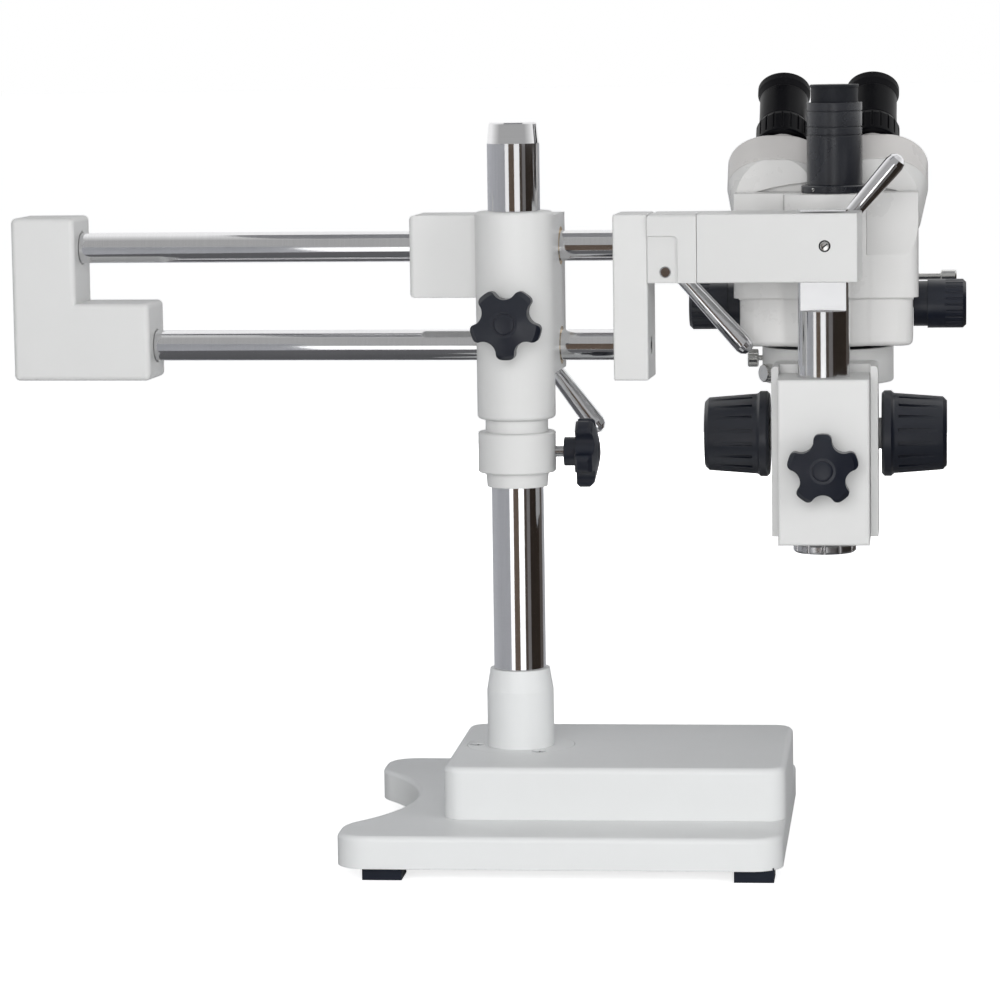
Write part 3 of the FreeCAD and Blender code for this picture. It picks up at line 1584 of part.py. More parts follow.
def eyecup(label, side):
    """Soft ring round the eye lens."""
    body = new_body(label, eye_place(side))
    top = "(eye_tube_high + eyepiece_high - eyecup_low)"
    low = f"({top} - eyecup_low + 1 + seat_gap)"
    high = f"({top} + eyecup_high - 4)"
    bore = "eyepiece_wide / 2 - 2 + seat_gap"
    turn(body, [
        (bore, low),
        ("eyepiece_wide / 2", low),
        ("eyecup_wide / 2 - 0.4", f"{high} - 7.5"),
        ("eyecup_wide / 2", f"{high} - 6.5"),
        ("eyecup_wide / 2", f"{high} - 1.2"),
        ("eyecup_wide / 2 - 1.2", high),
        (bore, high),
    ])


# Camera port
def camera_port_ring():
    place = HEAD * Placement(vector("port_x", "port_y", "cover_top"), Rotation())
    body = new_body("camera_port_ring", place)
    turn(body, [
        ("tube_bore / 2", 0),
        ("port_wide / 2 - 0.8", 0),
        ("port_wide / 2", 0.8),
        ("port_wide / 2", "port_ring_high - 0.8"),
        ("port_wide / 2 - 0.8", "port_ring_high"),
        ("tube_bore / 2", "port_ring_high"),
    ])


def camera_tube():
    """Tube with three turned grooves and a plain bore."""
    body = new_body("camera_tube", HEAD * Placement(vector("port_x", "port_y", 0), Rotation()))
    outer = "tube_wide / 2"
    low = "(cover_top + port_ring_high)"
    turn(body, tube(low, "tube_top", "tube_wide", "tube_bore"))
    for height in ("tube_groove_upper", "tube_groove_middle", "tube_groove_lower"):
        groove(body, [
            (f"{outer} - tube_groove", f"{height} - tube_groove / 2"),
            (f"{outer} + 1", f"{height} - tube_groove"),
            (f"{outer} + 1", f"{height} + tube_groove"),
            (f"{outer} - tube_groove", f"{height} + tube_groove / 2"),
        ])


def camera_cap():
    """Dust cap whose plug sits in the tube's bore."""
    body = new_body("camera_cap", HEAD * Placement(vector("port_x", "port_y", 0), Rotation()))
    plug = "tube_bore / 2 - seat_gap"
    turn(body, [
        (0, "tube_top - 8"),
        (plug, "tube_top - 8"),
        (plug, "tube_top"),
        ("cap_tube_wide / 2", "tube_top"),
        ("cap_tube_wide / 2", "cap_tube_top - cap_brim_high"),
        ("cap_brim / 2", "cap_tube_top - cap_brim_high"),
        ("cap_brim / 2", "cap_tube_top - 0.5"),
        ("cap_brim / 2 - 0.5", "cap_tube_top"),
        (0, "cap_tube_top"),
    ])


base_plate()
base_block()
rubber_feet()
base_screws()
pole_flange()
flange_screws()
pole()
stop_collar()
collar_knob()
carriage_casting()
bar_bushes()
carriage_knob()
lever(
    "carriage", BOOM, "carriage_lever_x", LOWER_BAR, "bar_behind + bar_wide / 2 + face_gap",
    BOOM_BACK, "carriage_lever_angle",
)
bar("bar_upper", "bar_upper_height", "end_upper_right - bar_in_end + face_gap")
bar("bar_lower", LOWER_BAR, "end_lower_right - bar_in_end + face_gap")
end_block()
cross_plate()
bar_end_screws()
arm_bracket()
lever(
    "bracket", BOOM, "bracket_lever_x", "bracket_lever_height", f"{ARM_FRONT} + jaw_deep + 0.3",
    ARM_BACK, "bracket_lever_angle",
)
arm_body()
arm_spigot()
lever(
    "arm", BOOM, "post_reach", "arm_lever_height", "bar_behind + post_wide / 2 + face_gap",
    ARM_BACK, "arm_lever_angle",
)
post()
post_stop_disc()
clamp_block()
clamp_knob()
focus_rack()
pinion_shaft()
shaft_bushes()
focus_stage()
focus_knob("focus_knob_left", -1, AGAINST_X)
focus_knob("focus_knob_right", 1, ALONG_X)
thumb_screw("ring_screw_upper", *THUMB_SCREWS[0])
thumb_screw("ring_screw_lower", *THUMB_SCREWS[1])
mount_ring()
objective_lenses()
zoom_body()
head_cover()
zoom_shaft()
zoom_knob("zoom_knob_left", -1, AGAINST_X)
zoom_knob("zoom_knob_right", 1, ALONG_X)
splitter_rod()
for side, name in ((-1, "left"), (1, "right")):
    prism_housing(f"prism_housing_{name}", side)
    diopter_ring(f"diopter_ring_{name}", side)
    eyepiece(f"eyepiece_{name}", side)
    eyecup(f"eyecup_{name}", side)
camera_port_ring()
camera_tube()
camera_cap()

doc.recompute()
for item in doc.Objects:
    if {"Invalid", "Error"} & set(item.State):
        raise ValueError(f"{item.Label} failed: {item.State}")

os.makedirs("parts", exist_ok=True)
for part in parts:
    if part.Shape.isNull() or not part.Shape.isValid():
        raise ValueError(f"{part.Label} has no valid shape")
    part.Shape.exportStep(os.path.join("parts", part.Label + ".step"))
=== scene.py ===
import math

import bmesh
import bpy
from mathutils import Matrix, Vector


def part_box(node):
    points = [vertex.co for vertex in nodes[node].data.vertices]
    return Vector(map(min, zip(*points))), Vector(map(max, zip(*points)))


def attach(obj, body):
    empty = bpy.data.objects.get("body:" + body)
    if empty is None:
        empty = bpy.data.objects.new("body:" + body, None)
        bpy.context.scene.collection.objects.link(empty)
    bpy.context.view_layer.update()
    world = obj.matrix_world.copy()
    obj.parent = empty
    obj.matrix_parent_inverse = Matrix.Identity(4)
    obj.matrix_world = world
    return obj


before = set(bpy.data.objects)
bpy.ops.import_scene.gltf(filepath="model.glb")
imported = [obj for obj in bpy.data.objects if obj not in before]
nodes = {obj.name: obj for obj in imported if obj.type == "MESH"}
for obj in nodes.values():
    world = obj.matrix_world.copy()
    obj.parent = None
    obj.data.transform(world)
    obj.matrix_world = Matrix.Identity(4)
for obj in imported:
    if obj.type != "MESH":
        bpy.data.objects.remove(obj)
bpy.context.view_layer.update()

MM = 0.001


# Frames of the part, in millimetres: the boom's, the stage's, the head's and those of the eyepieces
SWING = math.radians(-2.98)
POST_ON_BOOM = (221, 39, 0)
HEAD_FROM_POST = (0, 118, 0)
PUPIL_HALF = 33.8
POD_PIVOT = (11.41, 469)
EYE_IN_POD = (0, -17.6, 26)
SLANT = Matrix.Rotation(math.radians(-45), 4, "X")
FACING = Matrix.Rotation(math.radians(90), 4, "X")
BOOM = Matrix.Rotation(SWING, 4, "Z")
STAGE = Matrix.Translation(BOOM @ Vector(POST_ON_BOOM))
HEAD = STAGE @ Matrix.Translation(HEAD_FROM_POST)


def eye_frame(side):
    """Z along the eyepiece, square to the cover's slanted seat, origin on the prism housing."""
    return HEAD @ Matrix.Translation((side * PUPIL_HALF, *POD_PIVOT)) @ SLANT @ Matrix.Translation(EYE_IN_POD)


# Procedural materials
def shader(name):
    material = bpy.data.materials.new(name)
    material.use_nodes = True
    tree = material.node_tree
    tree.nodes.clear()
    out = tree.nodes.new("ShaderNodeOutputMaterial")
    surface = tree.nodes.new("ShaderNodeBsdfPrincipled")
    tree.links.new(surface.outputs[0], out.inputs["Surface"])
    coord = tree.nodes.new("ShaderNodeTexCoord")
    return material, tree, surface, coord.outputs["Object"]


def noise(tree, coord, scale, detail=4, rough=0.6, stretch=None):
    """Noise over the part's own coordinates, stretched along an axis where one is given."""
    if stretch:
        mapping = tree.nodes.new("ShaderNodeMapping")
        mapping.inputs["Scale"].default_value = stretch
        tree.links.new(coord, mapping.inputs["Vector"])
        coord = mapping.outputs["Vector"]
    node = tree.nodes.new("ShaderNodeTexNoise")
    node.inputs["Scale"].default_value = scale
    node.inputs["Detail"].default_value = detail
    node.inputs["Roughness"].default_value = rough
    tree.links.new(coord, node.inputs["Vector"])
    return node.outputs["Fac"]


def ranged(tree, value, low, high, from_low=0.3, from_high=0.7):
    node = tree.nodes.new("ShaderNodeMapRange")
    for key, number in (("From Min", from_low), ("From Max", from_high), ("To Min", low), ("To Max", high)):
        node.inputs[key].default_value = number
    tree.links.new(value, node.inputs["Value"])
    return node.outputs["Result"]


def mixed(tree, factor, first, second):
    """Colour between two colours or sockets."""
    node = tree.nodes.new("ShaderNodeMix")
    node.data_type = "RGBA"
    for socket, value in ((node.inputs[6], first), (node.inputs[7], second)):
        if isinstance(value, tuple):
            socket.default_value = (*value, 1)
        else:
            tree.links.new(value, socket)
    tree.links.new(factor, node.inputs[0])
    return node.outputs[2]


def multiplied(tree, first, second):
    node = tree.nodes.new("ShaderNodeMath")
    node.operation = "MULTIPLY"
    tree.links.new(first, node.inputs[0])
    if isinstance(second, (int, float)):
        node.inputs[1].default_value = second
    else:
        tree.links.new(second, node.inputs[1])
    return node.outputs[0]


def edges(tree, radius):
    """1 on sharp edges, 0 on open faces, and the rounded normal."""
    bevel = tree.nodes.new("ShaderNodeBevel")
    bevel.samples = 4
    bevel.inputs["Radius"].default_value = radius
    geometry = tree.nodes.new("ShaderNodeNewGeometry")
    dot = tree.nodes.new("ShaderNodeVectorMath")
    dot.operation = "DOT_PRODUCT"
    tree.links.new(bevel.outputs[0], dot.inputs[0])
    tree.links.new(geometry.outputs["Normal"], dot.inputs[1])
    return ranged(tree, dot.outputs["Value"], 1, 0, 0.72, 0.99), bevel.outputs[0]


def bumped(tree, surface, *layers, normal=None):
    """Bump layers of (height, strength, distance) one over the other."""
    for height, strength, distance in layers:
        node = tree.nodes.new("ShaderNodeBump")
        node.inputs["Strength"].default_value = strength
        node.inputs["Distance"].default_value = distance
        tree.links.new(height, node.inputs["Height"])
        if normal:
            tree.links.new(normal, node.inputs["Normal"])
        normal = node.outputs[0]
    tree.links.new(normal, surface.inputs["Normal"])


def enamel(name, colour, shade, rough=0.36, peel=0.35, gloss=0.5):
    """Baked enamel: faint clouding, orange peel, dull handled patches and rubbed edges."""
    material, tree, surface, coord = shader(name)
    cloud = noise(tree, coord, 7, 5)
    dust = noise(tree, coord, 60, 6)
    edge, rounded = edges(tree, 0.0009)
    base = mixed(tree, ranged(tree, cloud, 0, 0.5), colour, shade)
    rubbed = multiplied(tree, edge, ranged(tree, dust, 0, 0.5))
    uneven = ranged(tree, noise(tree, coord, 22, 6), rough - 0.06, rough + 0.09)
    tree.links.new(mixed(tree, rubbed, base, tuple(c * 0.78 for c in colour)), surface.inputs["Base Color"])
    tree.links.new(uneven, surface.inputs["Roughness"])
    surface.inputs["Specular IOR Level"].default_value = gloss
    surface.inputs["Coat Weight"].default_value = 0.2 * gloss
    surface.inputs["Coat Roughness"].default_value = 0.2
    bumped(
        tree, surface,
        (noise(tree, coord, 420, 2), peel * 0.4, 0.00012),
        (noise(tree, coord, 1500, 2), peel * 0.3, 0.00004),
        normal=rounded,
    )
    return material


def metal(name, colour, rough, stretch, streak):
    """Ground or turned metal whose fine lines run across the stretched axis."""
    material, tree, surface, coord = shader(name)
    surface.inputs["Metallic"].default_value = 1
    lines = noise(tree, coord, 1, 3, 0.7, stretch)
    smear = noise(tree, coord, 18, 5)
    rounded = edges(tree, 0.0005)[1]
    base = mixed(tree, ranged(tree, lines, 0, 0.35), colour, tuple(c * 0.8 for c in colour))
    dimmed = mixed(tree, ranged(tree, smear, 0, 0.25, 0.45, 0.8), base, tuple(c * 0.86 for c in colour))
    tree.links.new(dimmed, surface.inputs["Base Color"])
    tree.links.new(ranged(tree, smear, rough * 0.7, rough * 1.5), surface.inputs["Roughness"])
    bumped(
        tree, surface,
        (lines, 0.08 * streak, 0.00006),
        (noise(tree, coord, 260, 3), 0.02, 0.00006),
        normal=rounded,
    )
    return material


def plastic(name, colour, rough=0.42, grain=0.5, worn=(0.05, 0.052, 0.058), sheen=0.0, gloss=0.35):
    """Moulded plastic or rubber: fine grain, uneven gloss and greyed edges."""
    material, tree, surface, coord = shader(name)
    edge, rounded = edges(tree, 0.0007)
    cloud = noise(tree, coord, 30, 5)
    base = mixed(tree, ranged(tree, cloud, 0, 0.6), colour, tuple(c * 1.5 for c in colour))
    rubbed = multiplied(tree, edge, ranged(tree, noise(tree, coord, 140, 6), 0.0, 0.7))
    tree.links.new(mixed(tree, rubbed, base, worn), surface.inputs["Base Color"])
    uneven = ranged(tree, noise(tree, coord, 45, 6), rough - 0.08, rough + 0.1)
    tree.links.new(uneven, surface.inputs["Roughness"])
    surface.inputs["Sheen Weight"].default_value = sheen
    surface.inputs["Specular IOR Level"].default_value = gloss
    bumped(
        tree, surface,
        (noise(tree, coord, 1300, 3), 0.25 * grain, 0.00008),
        (noise(tree, coord, 200, 3), 0.06 * grain, 0.00015),
        normal=rounded,
    )
    return material


def lens(name, tint):
    """Coated lens: clear glass with a faint tint and light dust."""
    material, tree, surface, coord = shader(name)
    surface.inputs["Base Color"].default_value = (*tint, 1)
    surface.inputs["Transmission Weight"].default_value = 0.9
    surface.inputs["IOR"].default_value = 1.6
    tree.links.new(ranged(tree, noise(tree, coord, 300, 6), 0.02, 0.08, 0.4, 0.8), surface.inputs["Roughness"])
    bumped(tree, surface, (noise(tree, coord, 90, 2), 0.01, 0.00005))
    return material


CASTING = enamel("enamel_casting", (0.715, 0.715, 0.708), (0.685, 0.685, 0.678), 0.4)
BASE = enamel("enamel_base", (0.80, 0.81, 0.81), (0.77, 0.775, 0.77), 0.38, 0.5)
ARM = enamel("enamel_arm", (0.67, 0.67, 0.663), (0.64, 0.64, 0.633), 0.34)
HEAD_GREY = enamel("enamel_head", (0.715, 0.71, 0.70), (0.685, 0.68, 0.67), 0.3, 0.25)
# The pods' enamel is a darker, warmer copy of the head's enamel: painted shade for the pods' down-facing sides
POD_SHADED_GREY = enamel("enamel_pods", (0.665, 0.645, 0.63), (0.635, 0.615, 0.60), 0.28, 0.25)
HEAD_BLACK = enamel("enamel_black", (0.004, 0.004, 0.006), (0.007, 0.007, 0.010), 0.34, 0.25, 0.3)
CHROME_POLE = metal("chrome_pole", (0.84, 0.84, 0.85), 0.06, (6, 6, 2600), 0.35)
CHROME_BAR = metal("chrome_bar", (0.84, 0.84, 0.85), 0.08, (2600, 6, 6), 0.35)
CHROME_POST = metal("chrome_post", (0.82, 0.82, 0.83), 0.11, (30, 30, 1400), 1.6)
CHROME_LEVER = metal("chrome_lever", (0.84, 0.84, 0.86), 0.1, (120, 120, 120), 0.5)
STEEL = metal("steel_turned", (0.62, 0.62, 0.63), 0.24, (900, 900, 900), 1.0)
BRIGHT = metal("steel_bright", (0.78, 0.78, 0.76), 0.2, (900, 900, 900), 1.0)
DARK_STEEL = metal("steel_black", (0.07, 0.07, 0.075), 0.34, (700, 700, 700), 1.0)
BRASS = metal("brass_turned", (0.55, 0.38, 0.16), 0.28, (2000, 8, 8), 1.0)
KNOB = plastic("plastic_knob", (0.004, 0.006, 0.013), 0.36, 0.5, gloss=0.75)
FOCUS = plastic("plastic_focus", (0.004, 0.006, 0.012), 0.38, 0.8, gloss=0.85)
TUBE = plastic("anodised_tube", (0.006, 0.0075, 0.012), 0.3, 0.4, (0.05, 0.052, 0.06), gloss=0.9)
EYE = plastic("anodised_eye", (0.0015, 0.0016, 0.0025), 0.34, 0.4, (0.03, 0.03, 0.034), gloss=0.12)
CAP = plastic("plastic_cap", (0.008, 0.009, 0.012), 0.5, 0.7, gloss=0.3)
FOOT = plastic("rubber_foot", (0.012, 0.015, 0.024), 0.62, 1.4, (0.03, 0.033, 0.04), 0.1, 0.3)
CUP = plastic("rubber_cup", (0.004, 0.004, 0.005), 0.5, 1.0, (0.02, 0.02, 0.02), 0.0, 0.12)
# Flat near-black used as painted shade: the gap round grub screws and the shade in their slots
PAINTED_SHADE = plastic("slot_shadow", (0.006, 0.006, 0.007), 0.6, 0.2, gloss=0.2)
GLASS = lens("lens_glass", (0.80, 0.90, 0.95))

FINISH = {
    BASE: ("base_plate", "base_block", "pole_flange"),
    CASTING: (
        "stop_collar", "carriage_casting", "end_block", "cross_plate", "clamp_block",
        "focus_stage", "shaft_bushes",
    ),
    ARM: ("arm_bracket", "arm_body"),
    HEAD_GREY: ("zoom_body", "head_cover"),
    POD_SHADED_GREY: ("prism_housing_left", "prism_housing_right"),
    HEAD_BLACK: ("mount_ring",),
    CHROME_POLE: ("pole",),
    CHROME_BAR: ("bar_upper", "bar_lower"),
    CHROME_POST: ("post",),
    CHROME_LEVER: (
        "carriage_lever_hub", "carriage_lever_handle", "bracket_lever_hub", "bracket_lever_handle",
        "arm_lever_hub", "arm_lever_handle",
    ),
    STEEL: (
        "flange_screws", "collar_knob_stud", "carriage_knob_stud", "clamp_knob_stud", "arm_spigot",
        "post_stop_disc", "pinion_shaft", "zoom_shaft",
    ),
    BRIGHT: ("ring_screw_upper", "ring_screw_lower", "splitter_rod"),
    DARK_STEEL: ("base_screws", "bar_end_screws"),
    BRASS: ("bar_bushes", "focus_rack"),
    KNOB: (
        "collar_knob", "carriage_knob", "clamp_knob", "zoom_knob_left", "zoom_knob_right",
    ),
    EYE: ("diopter_ring_left", "diopter_ring_right", "eyepiece_left", "eyepiece_right"),
    FOCUS: ("focus_knob_left", "focus_knob_right"),
    TUBE: ("camera_port_ring", "camera_tube"),
    CAP: ("camera_cap",),
    FOOT: ("rubber_feet",),
    CUP: ("eyecup_left", "eyecup_right"),
    GLASS: ("objective_lenses",),
}
for material, names in FINISH.items():
    for name in names:
        node = nodes[name]
        node.data.materials.clear()
        node.data.materials.append(material)


# Small pieces that the photo shows, made as meshes
def new_piece(name, mesh, material, body, place):
    """A mesh drawn in millimetres in its own frame, set in place and carried by a body."""
    piece = bpy.data.objects.new(name, mesh)
    bpy.context.scene.collection.objects.link(piece)
    mesh.transform(Matrix.Scale(MM, 4) @ place)
    mesh.materials.append(material)
    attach(piece, body)
    return piece


def turned(name, outline, steps=64):
    """Mesh turned about Z from (radius, height) points, closed at the axis."""
    mesh = bpy.data.meshes.new(name)
    work = bmesh.new()
    rings = []
    for radius, height in outline:
        if radius == 0:
            rings.append([work.verts.new((0, 0, height))])
            continue
        rings.append([
            work.verts.new((radius * math.cos(angle), radius * math.sin(angle), height))
            for angle in (2 * math.pi * step / steps for step in range(steps))
        ])
    for low, high in zip(rings, rings[1:]):
        for step in range(steps):
            after = (step + 1) % steps
            pairs = ((low, step), (low, after), (high, after), (high, step))
            corners = list(dict.fromkeys(ring[index % len(ring)] for ring, index in pairs))
            if len(corners) > 2:
                work.faces.new(corners)
    bmesh.ops.recalc_face_normals(work, faces=work.faces)
    work.to_mesh(mesh)
    work.free()
    mesh.shade_smooth()
    mesh.set_sharp_from_angle(angle=math.radians(35))
    return mesh


def dome(radius, low, rise, steps=8):
    """Outline of a shallow dome from its rim to the axis."""
    return [
        (radius * math.cos(math.pi / 2 * i / steps), low + rise * math.sin(math.pi / 2 * i / steps))
        for i in range(steps)
    ] + [(0, low + rise)]


for side, name in ((-1, "left"), (1, "right")):
    outline = [(0, 56.95), (10.7, 56.35), (10.7, 56.9), *dome(10.6, 57.0, 1.1)]
    new_piece(f"eye_lens_{name}", turned("eye_lens", outline), GLASS, f"pod_{name}", eye_frame(side))


def boxed(name, low, high):
    """Box mesh between two corners."""
    mesh = bpy.data.meshes.new(name)
    corners = [(x, y, z) for x in (low[0], high[0]) for y in (low[1], high[1]) for z in (low[2], high[2])]
    sides = [(0, 1, 3, 2), (4, 6, 7, 5), (0, 4, 5, 1), (2, 3, 7, 6), (0, 2, 6, 4), (1, 5, 7, 3)]
    mesh.from_pydata(corners, [], sides)
    return mesh


SLOT_TURN = Matrix.Rotation(math.radians(38), 4, "Z")


def slotted(name, radius, material, body, place, rim=0.9):
    """Grub screw head in a dark rim of painted shade for the gap round it, a hair proud of the face round it;
    the slot is a dark box of painted shade.
    """
    ring = [(radius, 0.01), (radius + rim, 0.01), (radius + rim, 0.09), (radius, 0.09)]
    disc = [(0, 0.01), (radius, 0.01), (radius, 0.3), (radius - 0.4, 0.45), (0, 0.45)]
    slot = boxed("slot", (-radius * 0.75, -0.45, 0.40), (radius * 0.75, 0.45, 0.47))
    # The rim and the slot are dark meshes of painted shade, not parts of the screw
    new_piece(f"{name}_rim", turned("rim", ring), PAINTED_SHADE, body, place)
    new_piece(f"{name}_head", turned("head", disc), material, body, place)
    new_piece(f"{name}_slot", slot, PAINTED_SHADE, body, place @ SLOT_TURN)


COVER_PLANE = 480  # height plus depth of any point on the cover's slanted face, in the head's frame
PORT_LOW, PORT_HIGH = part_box("camera_port_ring")
PORT_RADIUS = (PORT_HIGH[0] - PORT_LOW[0]) / 2 / MM
PORT_MIDDLE = (PORT_HIGH[2] + PORT_LOW[2]) / 2 / MM
PORT_Y = (PORT_HIGH[1] + PORT_LOW[1]) / 2 / MM - HEAD.translation.y
PORT_X = 6.5
PORT_GRUB_TURN = Matrix.Rotation(math.radians(-38), 4, "Z")
KNOB_REACH = 9.5  # a star knob's half width, by which the boom's turn brings its box forward
CARRIAGE_KNOB_Z, COLLAR_KNOB_Z, CLAMP_KNOB_Z = 383.5, 286.7, 274.4
ARM_GRUB = (223.9, 14, 434.4)


def knob_button(name, body, place):
    """Shallow round button moulded in the middle of a star knob."""
    outline = [(0, -0.8), (3.2, -0.8), (3.2, 0), (7.5, 0), *dome(7.4, 0.15, 0.9)]
    new_piece(name, turned(name, outline), KNOB, body, place)


knob_front = (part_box("carriage_knob")[0][1] / MM + KNOB_REACH * math.sin(-SWING)) / math.cos(SWING)
knob_button(
    "carriage_button", "carriage_clamp", BOOM @ Matrix.Translation((0, knob_front, CARRIAGE_KNOB_Z)) @ FACING,
)
knob_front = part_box("clamp_knob")[0][1] / MM - STAGE.translation.y
knob_button(
    "clamp_button", "mount_clamp_knob", STAGE @ Matrix.Translation((0, knob_front, CLAMP_KNOB_Z)) @ FACING,
)
knob_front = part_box("collar_knob")[1][0] / MM
knob_button(
    "collar_button", "collar_clamp",
    Matrix.Translation((knob_front, 0, COLLAR_KNOB_Z)) @ Matrix.Rotation(math.radians(90), 4, "Y"),
)
slotted("arm_grub", 3.4, BRIGHT, "arm", BOOM @ Matrix.Translation(ARM_GRUB) @ FACING)
slotted(
    "port_grub", 1.3, BRIGHT, "head",
    HEAD @ Matrix.Translation((PORT_X, PORT_Y, 0)) @ PORT_GRUB_TURN
    @ Matrix.Translation((0, -PORT_RADIUS, PORT_MIDDLE)) @ FACING,
    0.3,
)


def cover_plug(half=23, radius=65):
    """Plug for the slit where the cover's hollow breaks through its slanted face, flush with that face."""
    mesh = bpy.data.meshes.new("cover_plug")
    across = [half * (i / 12 - 1) for i in range(25)]
    arc = [(x, math.sqrt(radius**2 - x**2)) for x in across]
    points = [
        (x, y - sink / math.sqrt(2), COVER_PLANE - y - sink / math.sqrt(2))
        for sink in (0.02, 2.5)
        for x, y in arc
    ]
    count = len(arc)
    sides = [(i, (i + 1) % count, count + (i + 1) % count, count + i) for i in range(count)]
    mesh.from_pydata(points, [], [list(range(count)), list(range(2 * count - 1, count - 1, -1)), *sides])
    new_piece("cover_plug", mesh, HEAD_GREY, "head", HEAD)


cover_plug()


# Floor, lights and camera
def either(tree, first, second):
    """1 where one of two values is 1."""
    node = tree.nodes.new("ShaderNodeMath")
    node.operation = "MAXIMUM"
    tree.links.new(first, node.inputs[0])
    tree.links.new(second, node.inputs[1])
    return node.outputs[0]


def add_glow(tree, surface, strength):
    """White glow that only camera, glossy and transmission rays see."""
    paths = tree.nodes.new("ShaderNodeLightPath").outputs
    seen = either(tree, paths["Is Camera Ray"], paths["Is Glossy Ray"])
    seen = either(tree, seen, paths["Is Transmission Ray"])
    glow = tree.nodes.new("ShaderNodeEmission")
    glow.inputs["Color"].default_value = (1, 1, 1, 1)
    tree.links.new(multiplied(tree, seen, strength), glow.inputs["Strength"])
    add = tree.nodes.new("ShaderNodeAddShader")
    tree.links.new(surface.outputs[0], add.inputs[0])
    tree.links.new(glow.outputs[0], add.inputs[1])
    tree.links.new(add.outputs[0], tree.nodes["Material Output"].inputs["Surface"])


def square(half, height):
    """Corners of a level square round the origin."""
    return [(-half, -half, height), (half, -half, height), (half, half, height), (-half, half, height)]


floor_mesh = bpy.data.meshes.new("floor")
floor_mesh.from_pydata(square(30, -0.0002), [], [(0, 1, 2, 3)])
floor = bpy.data.objects.new("floor", floor_mesh)
bpy.context.scene.collection.objects.link(floor)
floor_material, floor_tree, floor_surface, _ = shader("floor_pale")
floor_surface.inputs["Base Color"].default_value = (0.88, 0.88, 0.88, 1)
floor_surface.inputs["Roughness"].default_value = 0.9
add_glow(floor_tree, floor_surface, 0.74)
floor_mesh.materials.append(floor_material)

def studio_world():
    """Soft sky for the lighting, plain white for the camera, and a darker front for reflections."""
    world = bpy.data.worlds.new("studio")
    world.use_nodes = True
    bpy.context.scene.world = world
    tree = world.node_tree
    tree.nodes.clear()
    out = tree.nodes.new("ShaderNodeOutputWorld")
    direction = tree.nodes.new("ShaderNodeSeparateXYZ")
    tree.links.new(tree.nodes.new("ShaderNodeTexCoord").outputs["Generated"], direction.inputs[0])
    skies = []
    for colour in ((0.96, 0.98, 1.0, 1), (1, 1, 1, 1), (1, 1, 1, 1)):
        sky = tree.nodes.new("ShaderNodeBackground")
        sky.inputs["Color"].default_value = colour
        sky.inputs["Strength"].default_value = 1
        skies.append(sky)
    soft, mirrored, seen = skies
    tree.links.new(ranged(tree, direction.outputs["Z"], 0.50, 0.17, -0.1, 0.9), soft.inputs["Strength"])
    tree.links.new(ranged(tree, direction.outputs["Y"], 0.42, 1.0, -0.5, 0.35), mirrored.inputs["Strength"])
    paths = tree.nodes.new("ShaderNodeLightPath").outputs
    glossy = either(tree, paths["Is Glossy Ray"], paths["Is Transmission Ray"])
    result = soft.outputs[0]
    for factor, shown in ((glossy, mirrored), (paths["Is Camera Ray"], seen)):
        mix = tree.nodes.new("ShaderNodeMixShader")
        tree.links.new(factor, mix.inputs[0])
        tree.links.new(result, mix.inputs[1])
        tree.links.new(shown.outputs[0], mix.inputs[2])
        result = mix.outputs[0]
    tree.links.new(result, out.inputs["Surface"])


studio_world()


def area_light(name, place, target, size, power):
    """Lamp that lights the part and is itself seen neither directly nor in reflections."""
    data = bpy.data.lights.new(name, "AREA")
    data.shape = "RECTANGLE"
    data.size, data.size_y = size
    data.energy = power
    light = bpy.data.objects.new(name, data)
    bpy.context.scene.collection.objects.link(light)
    light.visible_glossy = False
    light.visible_camera = False
    light.location = place
    light.rotation_euler = (Vector(target) - Vector(place)).to_track_quat("-Z", "Y").to_euler()


area_light("front_light", (-0.1, -2.9, 0.95), (0.05, 0, 0.3), (1.9, 1.7), 47)
area_light("side_light", (2.3, -1.7, 0.9), (0.1, 0.1, 0.4), (0.6, 1.6), 17)
area_light("top_light", (0, -0.5, 2.3), (0, 0, 0.3), (1.6, 0.6), 4.5)
area_light("back_light", (0.2, 2.9, 0.5), (0.05, 0, 0.3), (1.9, 1), 26)


def add_card(name, points, faces, grey, warm=1.0):
    """A card that only reflections see."""
    mesh = bpy.data.meshes.new(name)
    mesh.from_pydata(points, [], faces)
    card = bpy.data.objects.new(name, mesh)
    bpy.context.scene.collection.objects.link(card)
    material, tree, surface, _ = shader(name)
    surface.inputs["Base Color"].default_value = (grey * warm, grey, grey * 1.04 / warm, 1)
    surface.inputs["Roughness"].default_value = 1
    mesh.materials.append(material)
    card.visible_camera = False
    card.visible_diffuse = False
    card.visible_transmission = False
    card.visible_shadow = False


CARD_REACH = 0.6
CARD_LOW, CARD_HIGH = -0.0001, 0.5


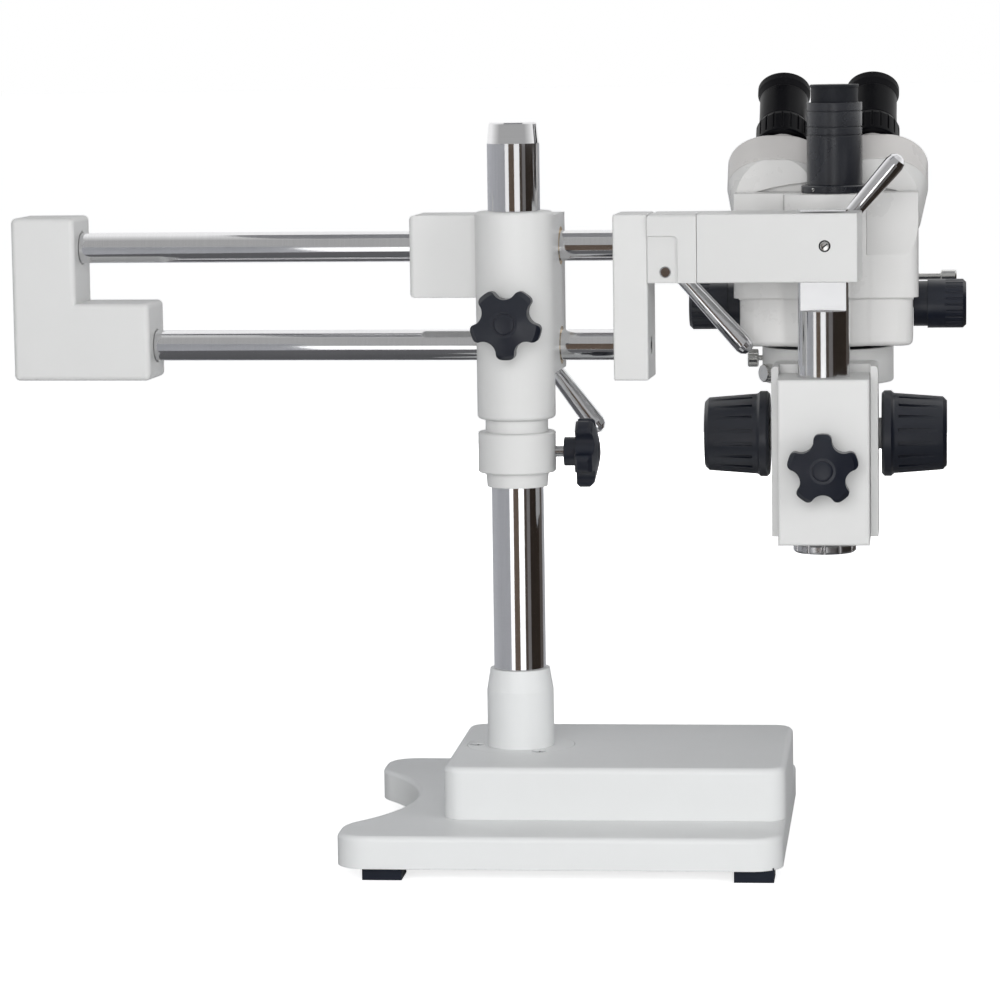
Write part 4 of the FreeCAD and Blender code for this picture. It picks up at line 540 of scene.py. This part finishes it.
def round_card(name, angle_from, angle_to, grey, warm):
    """Curved card round the part, so that chrome shows the dark parts of a room."""
    count = 8
    points = []
    for i in range(count + 1):
        angle = math.radians(angle_from + (angle_to - angle_from) * i / count)
        for height in (CARD_LOW, CARD_HIGH):
            points.append((CARD_REACH * math.cos(angle), CARD_REACH * math.sin(angle), height))
    faces = [(2 * i, 2 * i + 2, 2 * i + 3, 2 * i + 1) for i in range(count)]
    add_card(name, points, faces, grey, warm)


for name, angle_from, angle_to, grey, warm in (
    ("card_left", -262, -121, 0.6, 0.99),
    ("card_red", -105, -81, 0.16, 1.35),
    ("card_brown", -58, -46, 0.09, 1.25),
    ("card_line", -46, -31, 0.28, 1.05),
    ("card_dark", -31, 20, 0.03, 1.4),
    ("card_shade", 20, 45, 0.12, 1.15),
    ("card_edge", 45, 97, 0.55, 1.0),
):
    round_card(name, angle_from, angle_to, grey, warm)


add_card("card_floor", square(0.58, 0.0004), [(0, 1, 2, 3)], 0.20)
add_card("card_top", square(0.5, 1.75), [(0, 1, 2, 3)], 0.35)

# Camera, fitted to the photo
YAW, PITCH, ROLL = math.radians(5.99), math.radians(6.70), math.radians(-0.82)
FOCAL_PIXELS = 4162.3
PHOTO_WIDE = 1000
CAMERA_PLACE = (0.30213, -3.00464, 0.60593)
camera_data = bpy.data.cameras.new("camera")
camera_data.sensor_fit = "HORIZONTAL"
camera_data.sensor_width = 36
camera_data.lens = FOCAL_PIXELS * camera_data.sensor_width / PHOTO_WIDE
camera_data.clip_end = 100
camera = bpy.data.objects.new("camera", camera_data)
bpy.context.scene.collection.objects.link(camera)
right = Vector((math.cos(YAW), math.sin(YAW), 0))
ahead = Vector((-math.sin(YAW), math.cos(YAW), 0))
forward = ahead * math.cos(PITCH) - Vector((0, 0, 1)) * math.sin(PITCH)
up = Vector((0, 0, 1)) * math.cos(PITCH) + ahead * math.sin(PITCH)
across = right * math.cos(ROLL) + up * math.sin(ROLL)
upward = -right * math.sin(ROLL) + up * math.cos(ROLL)
camera.matrix_world = Matrix((
    (across.x, upward.x, -forward.x, CAMERA_PLACE[0]),
    (across.y, upward.y, -forward.y, CAMERA_PLACE[1]),
    (across.z, upward.z, -forward.z, CAMERA_PLACE[2]),
    (0, 0, 0, 1),
))
bpy.context.scene.camera = camera
bpy.context.scene.view_settings.view_transform = "Standard"
